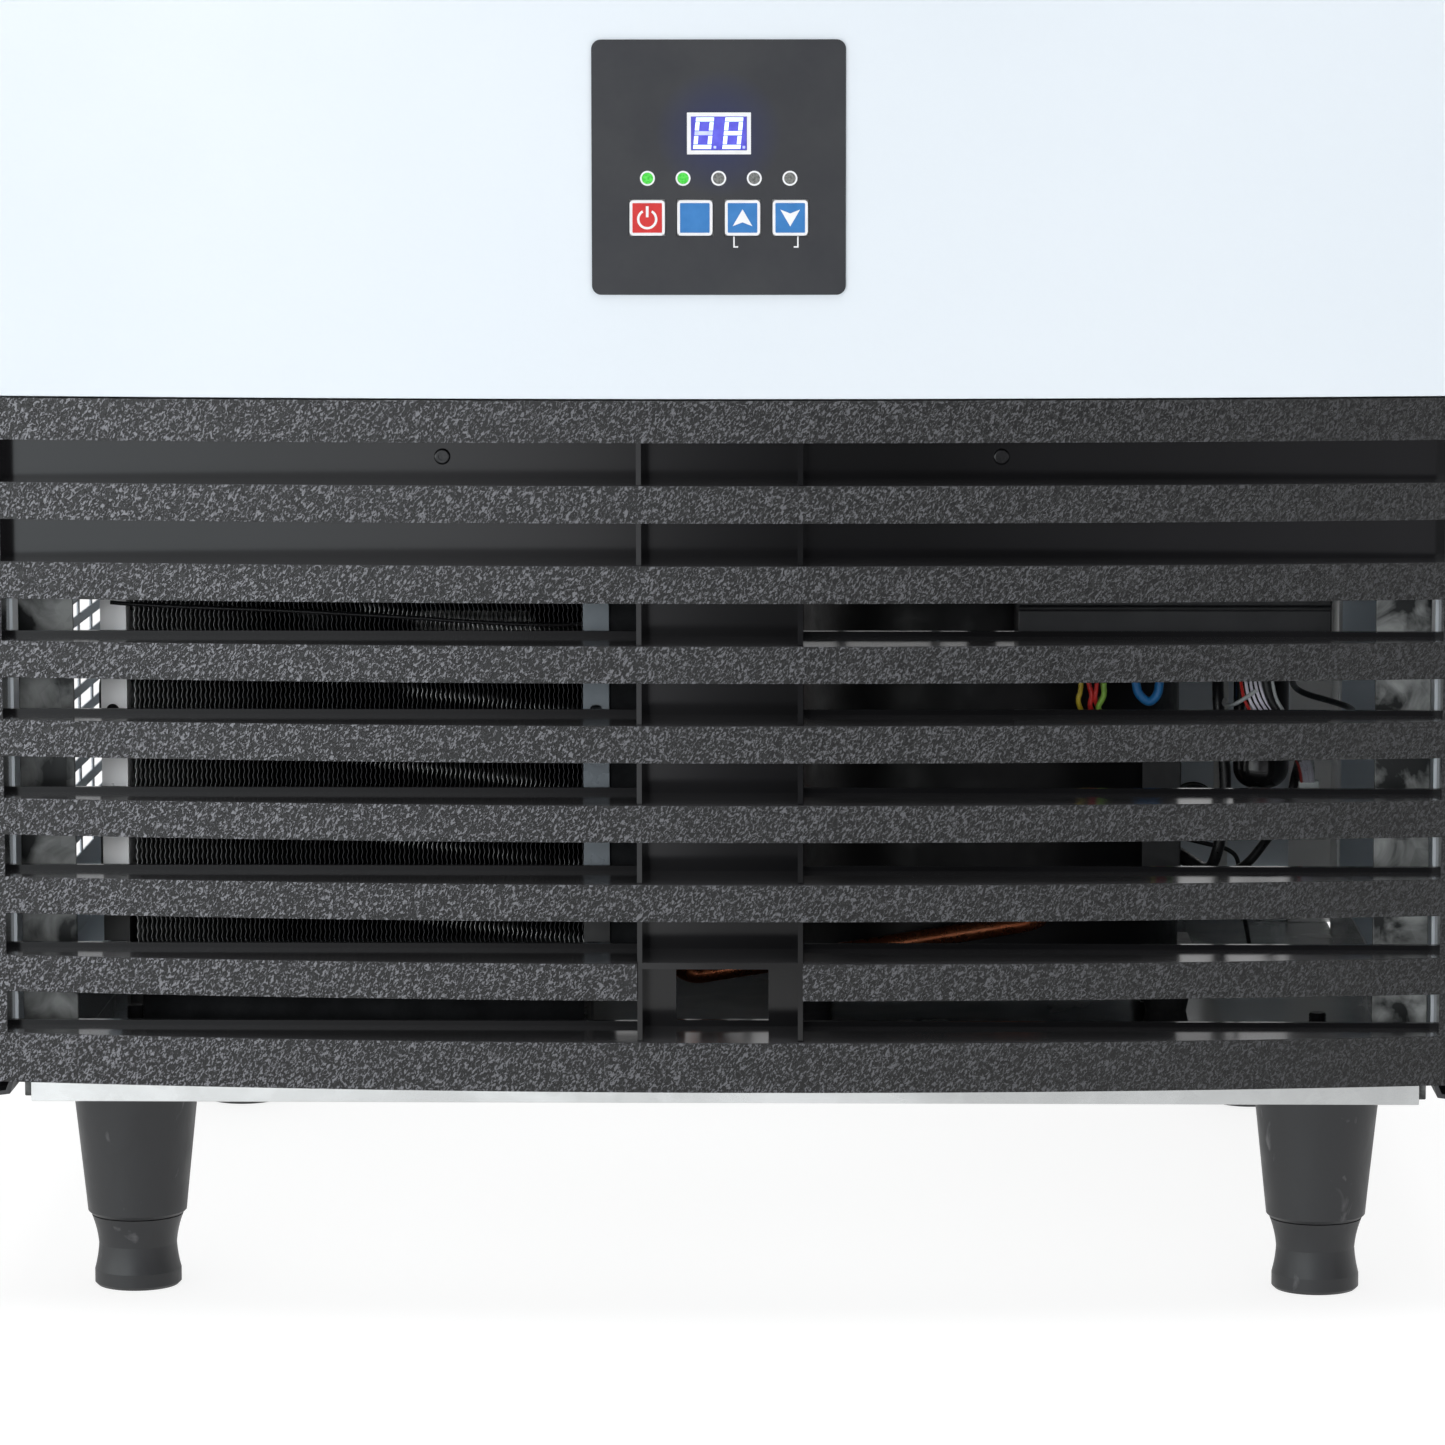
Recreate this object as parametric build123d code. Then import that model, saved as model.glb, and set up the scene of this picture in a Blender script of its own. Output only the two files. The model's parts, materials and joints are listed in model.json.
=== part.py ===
from build123d import *
import os
from math import cos, radians, sin, sqrt

# All lengths are in millimetres. Z is up, the front faces -Y, and the origin is the middle of the
# footprint on the floor. A depth is measured back from the crown of the bowed front.

# Overall sizes
cabinet_width = 500
cabinet_height = 800
body_depth = 450
bow_rise = 20.16
grip_reach = 20
rear_fitting_reach = 18

# Clearances and sheet thicknesses
seam = 0.4
fit_gap = 0.3
pin_clearance = 0.05
overrun = 5
sheet = 0.8
pan_sheet = 1.2

# Legs and their screw-in feet
leg_height = 66
leg_side_inset = 54
leg_inset = 26
leg_top_radius = 20.7
leg_shoulder_radius = 16.4
leg_shoulder_height = 24
leg_blend = 1.2
foot_waist_radius = 12.95
foot_waist_height = 14
foot_pad_radius = 14.4
foot_pad_height = 5.3
foot_edge = 1
stem_radius = 5
stem_engagement = 32
foot_travel = 12

# Base pan and corner posts
pan_side_gap = 22.5
pan_front_depth = 45
pan_rear_gap = 5
pan_lip = 22
post_width = 18
post_flange = 30
post_sheet = 1.5
post_outer_inset = 20
post_setback = 3.5
deck_height = 283.5
deck_lip = 22

# Intake grille
grille_bottom = 77.5
grille_top_rail = 13.4
grille_bottom_rail = 16
grille_slat_face = 11.8
grille_slat_pitch = 25.5
grille_slats = 7
grille_stile = 19
grille_depth = 36
grille_wall = 2.4
grille_slat_plate = 2
grille_lip = 1.6
grille_solid_rows = 2
grille_middle_width = 53
grille_rib = 1.6
grille_rib_setback = 3
grille_window_width = 30
grille_window_height = 17
grille_window_sill = 2
grille_screw_pitch = 180
grille_screw_drop = 20
grille_screw_radius = 1.5
grille_screw_head_radius = 2.6
grille_screw_head = 1.2
grille_screw_recess = 0.7
grille_screw_recess_radius = 1.2
screw_reach = 8
screw_radius = 2
screw_head_radius = 3.8
screw_head = 2

# Side panels, their floor trims and the vents of the left side and the back
flange_width = 20
trim_height = 7.4
trim_wall = 1.4
trim_slope = 2.4
trim_front_depth = 24
vent_slot_length = 33
vent_slot_height = 5
vent_pitch = 9
vent_column_pitch = 37
vent_bottom = 107
vent_top_gap = 14
vent_front_depth = 203
vent_rear_gap = 24

# Rear panel
rear_vent_bottom = 161
rear_vent_side_gap = 26

# Front panel, door and top cover
panel_gap = 0.5
door_bottom = 500
door_gap = 3
door_top_reveal = 3
door_thickness = 31
door_frame_depth = 36.4
door_edge_rail = 17
door_dish = 4
door_dish_margin = 34
hinge_back_set = 7
hinge_pin_radius = 2.5
hinge_pin_length = 9
hinge_eye_radius = 5.4
hinge_arm = 5
hinge_arm_inset = 19
hinge_plate_width = 12
hinge_plate = 3
hinge_plate_height = 24
door_open_angle = 80
gasket_width = 9
gasket_inset = 30
gasket_bottom_inset = 6
gasket_top_inset = 21
grip_width = 190
grip_height = 19
grip_wall = 3
cover_wall = 2.5
cover_height = 25

# Ice bin
insulation_front = 38.4
insulation_wall = 36
insulation_rear = 38
insulation_floor = 41
insulation_roof = 44
liner_wall = 2
mouth_side = 43
mouth_bottom = 520
mouth_drop = 52

# Control panel, with its keys named from the left
key_names = ("power", "light", "up", "down")
control_size = 80
control_height = 372.6
control_corner = 3
overlay_thickness = 1
housing_size = 64
housing_wall = 2
housing_face = 1.6
housing_face_depth = 0.6
housing_depth = 20
display_width = 17.7
display_height = 10.7
display_body_margin = 1
display_rise = 10.7
indicator_count = 5
indicator_pitch = 11.2
indicator_drop = 3.4
indicator_radius = 1.75
key_size = 11.1
key_hole_clearance = 0.2
key_pitch = 15
key_drop = 15.8
key_proud = 0.3
key_corner = 1.2
key_flange = 1.2
key_flange_depth = 1
key_stem_radius = 2.4
key_travel = 0.4
switch_size = 6
switch_height = 4.5
board_depth = 12
board_thickness = 1.6
board_size = 58

# Condenser and its fan
condenser_side_gap = 40.3
condenser_plate = 8.7
condenser_middle_gap = 48
condenser_bottom = 116
condenser_deck_gap = 20.3
condenser_front_depth = 100
condenser_thickness = 44
condenser_sheet = 1
fin_count = 96
fin_groove = 10
fin_thickness_share = 0.4
tube_rows = 6
tube_radius = 4.2
return_bend_reach = 6
return_bend_radius = 6
tube_end_reach = 10
condenser_margin = 5
plate_hole_radius = 2.2
shroud_gap = 3
shroud_wall = 1.6
fan_inset = 14.5
fan_clearance = 3
shroud_collar = 22
fan_hub_radius = 17
fan_hub_length = 20
fan_blades_count = 5
fan_blade_thickness = 1.8
fan_root_chord = 22
fan_tip_chord = 40
fan_root_angle = 48
fan_tip_angle = 28
shaft_radius = 3
motor_radius = 27
motor_length = 46
motor_gap = 4
motor_edge = 4
hub_edge = 4
motor_arm = 8
motor_arm_thickness = 2.5

# Compressor
compressor_x = 89
compressor_depth = 218
compressor_radius = 63
compressor_bottom = 88
compressor_height = 146
compressor_dome = 30
compressor_seam = 3
compressor_seam_height = 62
compressor_plate_width = 150
compressor_plate_depth = 116
compressor_plate = 3
grommet_radius = 9
grommet_inset = 13
terminal_depth = 42
terminal_height = 41
terminal_bottom = 125
terminal_length = 26
terminal_reach = 4

# Electric box and capacitor
electric_box_side_gap = 49
electric_box_width = 104
electric_box_front_depth = 92
electric_box_depth = 52
electric_box_height = 78
electric_box_wall = 1.5
capacitor_inset = 21.4
capacitor_radius = 9.3
capacitor_length = 43
capacitor_crown = 7

# Refrigeration pipework
pipe_radius = 3.2
hot_pipe_depth = 140
hot_pipe_left = -18
hot_pipe_left_height = 92.5
hot_pipe_offset = 17
hot_pipe_height = 112.5
pipe_bend = 8
pipe_rise = 20
suction_radius = 5.5
suction_bend = 16
suction_clearance = 14
suction_height = 119
drier_x = -8
drier_depth = 250
drier_radius = 10
drier_deck_gap = 66.3
drier_bottom = 130
drier_neck_radius = 3.2
drier_neck_length = 12
valve_x = -8
valve_depth = 345
valve_deck_gap = 51.3
valve_body = 18
valve_coil_radius = 15
valve_coil_length = 26

# Water connections and cord gland at the rear
inlet_side_gap = 100
inlet_height = 112
inlet_thread_radius = 13.2
inlet_flange_radius = 18
inlet_flange = 3
inlet_body_radius = 11
inlet_body_length = 34
inlet_bore_radius = 9
inlet_bore_depth = 12
tube_up_side_gap = 73
tube_up_depth = 300
water_tube_radius = 2.6
water_tube_height = 76
water_tube_left = -30
water_tube_rear_gap = 25
drain_x = -60
drain_rear_gap = 55
drain_bend = 24
spigot_inside = 5
drain_height = 96
drain_radius = 8
drain_bore_radius = 6
drain_flange_radius = 11
drain_flange = 2
gland_side_gap = 75
gland_height = 112
gland_radius = 9
gland_bore_radius = 4
gland_flange_radius = 12
gland_flange = 4
gland_inside = 6

# Evaporator and water circuit in the bin
evaporator_drop = 22.2
evaporator_side_room = 75
evaporator_rows = 8
evaporator_cell = 22
evaporator_web = 2
evaporator_thickness = 22
evaporator_back = 4
evaporator_rear_gap = 26
evaporator_margin = 4
standoff_radius = 5
coil_runs = 6
coil_radius = 4
distributor_radius = 8
distributor_wall = 1.5
distributor_rise = 14
distributor_hole_radius = 1.5
distributor_holes = 9
curtain_gap = 14
curtain_thickness = 2
curtain_overlap = 12
curtain_drop = 200
curtain_pin_radius = 3
curtain_pin_length = 8
curtain_ribs = 7
curtain_rib = 3
curtain_open_angle = 30
curtain_arm = 5
curtain_arm_height = 14
trough_reach = 16
trough_side_gap = 6.8
trough_front_gap = 4
trough_drop = 57
trough_height = 42
trough_wall = 2.5
pump_side_gap = 31.8
pump_radius = 21
pump_height = 62
pump_edge = 5
pump_foot_radius = 17
pump_foot_height = 22
pump_outlet_radius = 5
pump_hose_radius = 7
light_width = 90
light_depth = 12
light_height = 6
light_front_depth = 100
probe_radius = 4
probe_length = 70
probe_height = 455
probe_depth = 200
probe_bracket = 3
probe_bracket_length = 12
probe_bracket_inset = 6

# Wiring
lead_radius = 1.2
cable_radius = 2.4
wire_bend = 6
lead_pitch = 4
lead_drop_inset = 25
terminal_entry_share = 0.6
earth_side_gap = 44
earth_height = 140
earth_run_side_gap = 26
earth_side_height = 165

# Places that follow from the sizes above
half_width = cabinet_width / 2
bow_radius = (half_width ** 2 + bow_rise ** 2) / (2 * bow_rise)
panel_top = cabinet_height - cover_height
mouth_top = cabinet_height - mouth_drop
leg_spacing_x = cabinet_width - 2 * leg_side_inset
pan_width = cabinet_width - 2 * pan_side_gap
overall_depth = grip_reach + body_depth + rear_fitting_reach
front_y = -overall_depth / 2 + grip_reach
rear_y = front_y + body_depth
frame_y = front_y + door_frame_depth
pan_top = leg_height + pan_sheet
pan_front_y = front_y + pan_front_depth
pan_rear_y = rear_y - pan_rear_gap
post_front_y = pan_front_y + post_setback
post_outer_x = half_width - post_outer_inset
slat_gap = grille_slat_pitch - grille_slat_face
slats_top = grille_bottom + grille_bottom_rail + grille_slats * grille_slat_pitch + slat_gap
grille_top = slats_top + grille_top_rail
grille_rear_y = front_y + grille_depth
panel_bottom = grille_top + panel_gap
front_panel_top = door_bottom - door_gap
door_top = cabinet_height - door_top_reveal
hinge_y = front_y + door_thickness - hinge_back_set
hinge_z = door_top - hinge_back_set
vent_columns = int((rear_y - vent_rear_gap - front_y - vent_front_depth) / vent_column_pitch)
vent_rows = int((deck_height - vent_top_gap - vent_bottom) / vent_pitch)
rear_vent_columns = 2 * int((half_width - rear_vent_side_gap) / vent_column_pitch)
rear_vent_rows = int((deck_height - vent_top_gap - rear_vent_bottom) / vent_pitch)
liner_rear_y = rear_y - sheet - insulation_rear - liner_wall
liner_half = half_width - sheet - seam - insulation_wall - liner_wall
liner_floor = deck_height + insulation_floor + liner_wall
liner_roof = cabinet_height - cover_wall - fit_gap - insulation_roof - liner_wall
condenser_left = half_width - condenser_side_gap
condenser_core_width = condenser_left - condenser_plate - condenser_middle_gap
condenser_height = deck_height - pan_sheet - condenser_deck_gap - condenser_bottom
fan_room = min(condenser_core_width, condenser_height + 2 * condenser_margin)
fan_radius = fan_room / 2 - fan_inset
fan_y = front_y + condenser_front_depth + condenser_thickness + shroud_gap + shroud_wall
condenser_x = -condenser_left + condenser_plate + condenser_core_width / 2
condenser_z = condenser_bottom + condenser_height / 2
grille_rail_top = grille_bottom + grille_bottom_rail
grille_inner = half_width - grille_stile
grille_middle = grille_middle_width / 2
grille_screw_z = grille_top - grille_screw_drop
display_z = control_height + display_rise
indicators_z = control_height - indicator_drop
keys_z = control_height - key_drop
seam_bottom = compressor_bottom + compressor_seam_height
electric_box_left = half_width - electric_box_side_gap - electric_box_width
drier_length = deck_height - pan_sheet - drier_deck_gap - drier_bottom
valve_height = deck_height - pan_sheet - valve_deck_gap - valve_coil_length
capacitor_x = half_width - electric_box_side_gap - capacitor_inset
inlet_x = inlet_side_gap - half_width
gland_x = half_width - gland_side_gap
earth_x = half_width - earth_side_gap
earth_run_x = half_width - earth_run_side_gap
drain_y = rear_y - drain_rear_gap
tube_up_x = half_width - tube_up_side_gap
tube_up_y = front_y + tube_up_depth
evaporator_columns = 2 * int((liner_half - evaporator_side_room) / evaporator_cell)
evaporator_half = evaporator_columns * evaporator_cell / 2 + evaporator_margin
evaporator_height = evaporator_rows * evaporator_cell + 2 * evaporator_margin
evaporator_bottom = liner_roof - evaporator_drop - evaporator_height
curtain_width = 2 * (evaporator_half + curtain_overlap)
trough_left = evaporator_half + trough_reach
trough_right = liner_half - trough_side_gap
trough_bottom = evaporator_bottom - trough_drop
pump_x = liner_half - pump_side_gap


def block(x_span, y_span, z_span):
    """A box from its low and high limits along each axis."""
    corner = Pos(x_span[0], y_span[0], z_span[0])
    size = [span[1] - span[0] for span in (x_span, y_span, z_span)]
    return corner * Box(*size, align=(Align.MIN, Align.MIN, Align.MIN))


def rod(radius, start, end):
    """A round bar from one point to another."""
    line = Vector(*end) - Vector(*start)
    bar = Cylinder(radius, line.length, align=(Align.CENTER, Align.CENTER, Align.MIN))
    return Plane(origin=start, z_dir=line) * bar


def turned(outline, x=0, y=0):
    """A body of revolution about the vertical line at x, y; the outline is (radius, height) edges."""
    profile = make_face(outline)
    return Pos(x, y, 0) * revolve(Plane.XZ * profile, Axis.Z)


def pipe(points, bend, radius):
    """A round pipe along straight runs joined by bends."""
    path = FilletPolyline(*points, radius=bend)
    section = Plane(origin=path @ 0, z_dir=path % 0) * Circle(radius)
    return sweep(section, path=path)


def bow_y(x, inset=0):
    """Where the surface lies that is the given inset behind the bowed front."""
    return front_y + bow_radius - sqrt((bow_radius - inset) ** 2 - x ** 2)


def bowed_block(x_span, z_span, back_y, inset=0):
    """A block whose front follows the bow, at the given inset behind it."""
    left, right = x_span
    middle = (left + right) / 2
    start, crown, end = [(x, bow_y(x, inset)) for x in (left, middle, right)]
    front = ThreePointArc(start, crown, end)
    sides = Polyline(end, (right, back_y), (left, back_y), start)
    plan = make_face([front, sides])
    return Pos(0, 0, z_span[0]) * extrude(plan, z_span[1] - z_span[0])


def both_sides(shape):
    """The shape and its mirror image, as separate solids."""
    return [shape, mirror(shape, Plane.YZ)]


def group(shapes):
    """Several separate solids as one node."""
    solids = [solid for shape in shapes for solid in shape.solids()]
    return Compound(children=solids)


def leg_places():
    """Names and centres of the four legs."""
    rows = {"front": pan_front_y + leg_inset, "rear": pan_rear_y - leg_inset}
    columns = {"left": -leg_spacing_x / 2, "right": leg_spacing_x / 2}
    return {f"{row}_{column}": (x, y) for row, y in rows.items() for column, x in columns.items()}


def leg_sleeves():
    """Tapered sleeves under the pan, each bored for its foot's stem."""
    bore = stem_radius + pin_clearance
    bore_top = leg_shoulder_height + stem_engagement + leg_blend
    outline = Polyline(
        (bore, leg_shoulder_height),
        (leg_shoulder_radius - leg_blend, leg_shoulder_height),
        (leg_shoulder_radius, leg_shoulder_height + leg_blend),
        (leg_top_radius, leg_height),
        (0, leg_height),
        (0, bore_top),
        (bore, bore_top),
        (bore, leg_shoulder_height),
    )
    return group([turned(outline, x, y) for x, y in leg_places().values()])


def foot(x, y):
    """A waisted foot on a screwed stem."""
    top = leg_shoulder_height - fit_gap
    stem_top = top + stem_engagement
    shoulder = leg_shoulder_radius - leg_blend
    waist = (foot_waist_radius, foot_waist_height)
    upper_middle = ((2 * foot_waist_radius + shoulder) / 3, (foot_waist_height + top) / 2)
    pad_top = (foot_pad_radius, foot_pad_height)
    lower_middle = ((2 * foot_waist_radius + foot_pad_radius) / 3, (foot_waist_height + foot_pad_height) / 2)
    outline = [
        Polyline((0, 0), (foot_pad_radius - foot_edge, 0), (foot_pad_radius, foot_edge), pad_top),
        ThreePointArc(pad_top, lower_middle, waist),
        ThreePointArc(waist, upper_middle, (shoulder, top)),
        Polyline((shoulder, top), (stem_radius, top), (stem_radius, stem_top), (0, stem_top), (0, 0)),
    ]
    return turned(outline, x, y)


def base_pan():
    """A galvanised tray with its lips turned up."""
    half = pan_width / 2
    lip_z = (leg_height, leg_height + pan_lip)
    pan = block((-half, half), (pan_front_y, pan_rear_y), (leg_height, pan_top))
    pan += block((-half, half), (pan_front_y, pan_front_y + pan_sheet), lip_z)
    pan += block((-half, half), (pan_rear_y - pan_sheet, pan_rear_y), lip_z)
    between_posts = (post_front_y + post_flange + seam, pan_rear_y - post_setback - post_flange - seam)
    return pan + both_sides(block((half - pan_sheet, half), between_posts, lip_z))


def corner_posts():
    """Four folded angles that carry the deck on the pan."""
    z_span = (pan_top, deck_height - pan_sheet)
    face_x = (post_outer_x - post_width, post_outer_x)
    flange_x = (post_outer_x - post_sheet, post_outer_x)
    rear = pan_rear_y - post_setback
    front_post = block(face_x, (post_front_y, post_front_y + post_sheet), z_span)
    front_post += block(flange_x, (post_front_y, post_front_y + post_flange), z_span)
    rear_post = block(face_x, (rear - post_sheet, rear), z_span)
    rear_post += block(flange_x, (rear - post_flange, rear), z_span)
    return group(both_sides(front_post) + both_sides(rear_post))


def machine_deck():
    """The plate over the machine space; the grille screws into its front lip."""
    half = half_width - sheet - seam
    front = frame_y + sheet
    deck = block((-half, half), (front, rear_y - 2 * sheet - seam), (deck_height - pan_sheet, deck_height))
    lip_half = half - flange_width
    deck += block((-lip_half, lip_half), (front, front + pan_sheet), (deck_height - deck_lip, deck_height))
    for x in grille_screw_places():
        hole = ((x, front - overrun, grille_screw_z), (x, front + overrun, grille_screw_z))
        deck -= rod(grille_screw_radius, *hole)
    for x, y, radius in ((drain_x, drain_y, drain_radius), (tube_up_x, tube_up_y, water_tube_radius)):
        deck -= rod(radius + seam, (x, y, deck_height - overrun), (x, y, deck_height + overrun))
    return deck


def side_panel():
    """The right-hand side: a sheet with its edges folded in."""
    z_span = (grille_bottom, panel_top)
    flange_x = (half_width - flange_width, half_width)
    back = rear_y - sheet
    panel = block((half_width - sheet, half_width), (frame_y, back), z_span)
    panel += block(flange_x, (frame_y, frame_y + sheet), z_span)
    panel += block(flange_x, (back - sheet, back), z_span)
    return panel + block(flange_x, (frame_y, back), (grille_bottom, grille_bottom + sheet))


def vented_side_panel():
    """The left-hand side, slotted beside the condenser and its fan."""
    slot_x = (-half_width - overrun, sheet + overrun - half_width)
    slots = []
    for column in range(vent_columns):
        y = front_y + vent_front_depth + column * vent_column_pitch
        for row in range(vent_rows):
            z = vent_bottom + row * vent_pitch
            slots.append(block(slot_x, (y, y + vent_slot_length), (z, z + vent_slot_height)))
    return mirror(side_panel(), Plane.YZ) - slots


def side_trim():
    """A black channel that closes the right-hand panel's lower edge."""
    top = grille_bottom - fit_gap
    bottom = top - trim_height
    inner = half_width - flange_width
    outline = Polyline(
        (half_width, top),
        (half_width, bottom),
        (inner + trim_wall, bottom + trim_slope),
        (inner, top),
        (inner + trim_wall, top),
        (inner + trim_wall + trim_wall, bottom + trim_slope + trim_wall),
        (half_width - trim_wall, bottom + trim_wall),
        (half_width - trim_wall, top),
        (half_width, top),
    )
    length = rear_y - front_y - trim_front_depth
    return Pos(0, rear_y, 0) * extrude(Plane.XZ * make_face(outline), length)


def rear_panel():
    """The back sheet, slotted over its whole width above the fittings that pass through it."""
    half = half_width - seam
    skin = block((-half, half), (rear_y - sheet, rear_y), (grille_bottom + sheet, panel_top))
    through = (rear_y - overrun, rear_y + overrun)
    slots = []
    for column in range(rear_vent_columns):
        x = (column - rear_vent_columns / 2) * vent_column_pitch + (vent_column_pitch - vent_slot_length) / 2
        for row in range(rear_vent_rows):
            z = rear_vent_bottom + row * vent_pitch
            slots.append(block((x, x + vent_slot_length), through, (z, z + vent_slot_height)))
    skin -= slots
    fittings = (
        (inlet_x, inlet_height, inlet_body_radius),
        (drain_x, drain_height, drain_radius),
        (gland_x, gland_height, gland_radius),
    )
    for x, z, radius in fittings:
        skin -= rod(radius + seam, (x, through[0], z), (x, through[1], z))
    return skin


def top_cover():
    """A lid with skirts that stand on the side panels."""
    bottom = panel_top + seam
    outer = block((-half_width, half_width), (frame_y, rear_y), (bottom, cabinet_height))
    hollow = block(
        (cover_wall - half_width, half_width - cover_wall),
        (frame_y + cover_wall, rear_y - cover_wall),
        (bottom - overrun, cabinet_height - cover_wall),
    )
    lid = outer - hollow
    return chamfer(lid.faces().sort_by(Axis.Z)[-1].edges(), cover_wall / 2)


def grille_screw_places():
    return (-grille_screw_pitch / 2, grille_screw_pitch / 2)


def grille_frame(slat_tops):
    """The bowed shell with its rails and stiles, cut through between the slats."""
    hollow_z = (grille_bottom + grille_slat_plate, grille_top - grille_slat_plate)
    frame = bowed_block((-half_width, half_width), (grille_bottom, grille_top), grille_rear_y)
    frame -= bowed_block((-grille_inner, grille_inner), hollow_z, grille_rear_y + overrun, grille_wall)
    through = (front_y - overrun, grille_rear_y - grille_wall)
    for top in [slats_top + grille_slat_face] + slat_tops:
        low = top - grille_slat_pitch
        frame -= block((-grille_inner, grille_inner), through, (low, low + slat_gap))
    return frame - block((-grille_middle, grille_middle), through, (grille_rail_top, slat_tops[-1]))


def grille_window():
    """The opening in the middle's back wall, above the bottom rail."""
    half = grille_window_width / 2
    sill = grille_rail_top + grille_window_sill
    through = (grille_rear_y - overrun, grille_rear_y + overrun)
    return block((-half, half), through, (sill, sill + grille_window_height))


def grille_plate(z_top, x_span):
    """The shelf that runs back from a slat's top edge to its raised rear lip."""
    plate = bowed_block(x_span, (z_top - grille_slat_plate, z_top), grille_rear_y, grille_wall / 2)
    lip_z = (z_top - grille_slat_face / 2, z_top + grille_lip)
    return plate + block(x_span, (grille_rear_y - grille_wall, grille_rear_y), lip_z)


def intake_grille():
    """The moulded louvre: rails, stiles, slats, the closed upper wall and the closed middle."""
    slat_tops = [slats_top - slat_gap - index * grille_slat_pitch for index in range(grille_slats)]
    grille = grille_frame(slat_tops)
    for top in slat_tops[:-1] + [grille_rail_top]:
        grille += grille_plate(top, (-grille_inner, grille_inner))
    grille += both_sides(grille_plate(slat_tops[-1], (grille_middle, grille_inner)))
    rib_reach = (grille_rear_y, grille_rib_setback)
    ledge_z = (slat_tops[-1] - grille_slat_plate, slat_tops[-1])
    grille += bowed_block((-grille_middle, grille_middle), ledge_z, *rib_reach)
    rib_z = (grille_rail_top - grille_slat_plate, slats_top + grille_slat_plate)
    grille += both_sides(bowed_block((grille_middle - grille_rib, grille_middle), rib_z, *rib_reach))
    rear_wall = (grille_rear_y - grille_wall, grille_rear_y)
    closed_bottom = slat_tops[grille_solid_rows - 1] - grille_slat_plate
    grille += block((-grille_inner, grille_inner), rear_wall, (closed_bottom, grille_top))
    grille += block((-grille_middle, grille_middle), rear_wall, (grille_rail_top, slats_top))
    head_y = (grille_rear_y - grille_depth / 2, grille_rear_y)
    grille += block((-grille_inner, grille_inner), head_y, (slats_top, slats_top + grille_slat_plate))
    for x in grille_screw_places():
        hole = ((x, head_y[0], grille_screw_z), (x, grille_rear_y + overrun, grille_screw_z))
        grille -= rod(grille_screw_radius, *hole)
    return grille - grille_window()


def grille_screws():
    """Two small pan-head screws through the grille's wall into the deck's lip."""
    z = grille_screw_z
    seat = grille_rear_y - grille_wall
    face = seat - grille_screw_head
    screws = []
    for x in grille_screw_places():
        head = rod(grille_screw_head_radius, (x, face, z), (x, seat, z))
        rim = head.edges().filter_by(GeomType.CIRCLE).sort_by(Axis.Y)[:1]
        shank = rod(grille_screw_radius - pin_clearance, (x, seat, z), (x, seat + screw_reach, z))
        recess = rod(grille_screw_recess_radius, (x, face - overrun, z), (x, face + grille_screw_recess, z))
        screws.append(fillet(rim, grille_screw_head / 2) + shank - recess)
    return group(screws)


def front_panel():
    """The bowed front sheet, a tray open at the back with the control cut-out."""
    z_span = (panel_bottom, front_panel_top)
    outer = bowed_block((-half_width, half_width), z_span, frame_y - seam)
    inner_x = (sheet - half_width, half_width - sheet)
    inner = bowed_block(inner_x, (z_span[0] + sheet, z_span[1] - sheet), frame_y + overrun, sheet)
    half = housing_size / 2 + seam
    z_cut = (control_height - half, control_height + half)
    return outer - inner - block((-half, half), (front_y - overrun, front_y + overrun), z_cut)


def bin_cavity(wall):
    """The bin's space and its mouth, grown by the given wall."""
    half = liner_half + wall
    front_wall_y = front_y + insulation_front + insulation_wall
    main = block(
        (-half, half),
        (front_wall_y + liner_wall - wall, liner_rear_y + wall),
        (liner_floor - wall, liner_roof + wall),
    )
    mouth_half = half_width - mouth_side + wall
    mouth_y = (frame_y - overrun, front_wall_y + overrun)
    return main + block((-mouth_half, mouth_half), mouth_y, (mouth_bottom - wall, mouth_top + wall))


def bin_outlets(margin):
    """Ways down through the bin's floor for the drain and the water tube."""
    low = deck_height - overrun
    drain = rod(drain_radius + margin, (drain_x, drain_y, low), (drain_x, drain_y, liner_floor))
    tube = rod(water_tube_radius + margin, (tube_up_x, tube_up_y, low), (tube_up_x, tube_up_y, liner_floor))
    return drain + tube


def bin_insulation():
    """The foamed walls round the bin."""
    half = half_width - sheet - seam
    y_span = (front_y + insulation_front, rear_y - 2 * sheet - seam)
    lower = block((-half, half), y_span, (deck_height, panel_top))
    upper_half = half_width - cover_wall - fit_gap
    upper = block(
        (-upper_half, upper_half),
        (frame_y + cover_wall + fit_gap, rear_y - cover_wall - fit_gap),
        (panel_top, cabinet_height - cover_wall - fit_gap),
    )
    return lower + upper - bin_cavity(liner_wall) - bin_outlets(fit_gap)


def bin_liner():
    """The white inner tank with its flange round the mouth."""
    flange_half = half_width - flange_width - seam
    flange = block((-flange_half, flange_half), (frame_y, front_y + insulation_front), (door_bottom, panel_top))
    frame_box = block((-half_width, half_width), (frame_y, rear_y), (deck_height, cabinet_height))
    tank = bin_cavity(liner_wall) & frame_box
    hole_z = (liner_floor - liner_wall - overrun, liner_floor + overrun)
    drain = rod(drain_bore_radius, (drain_x, drain_y, hole_z[0]), (drain_x, drain_y, hole_z[1]))
    return tank + flange - bin_cavity(0) - drain + curtain_ears()


def door_span():
    return (door_bottom, door_top)


def hinge_notch(width_span, margin):
    """Room over the whole swing for a fixed hinge arm, behind and above the axis."""
    reach = hinge_eye_radius + margin
    return block(width_span, (hinge_y - reach, frame_y + overrun), (hinge_z - reach, cabinet_height + overrun))


def rear_top_edge(shape):
    """The edge along X that lies furthest back and highest."""
    return shape.edges().filter_by(Axis.X).sort_by(lambda edge: edge.center().Y + edge.center().Z)[-1:]


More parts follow.
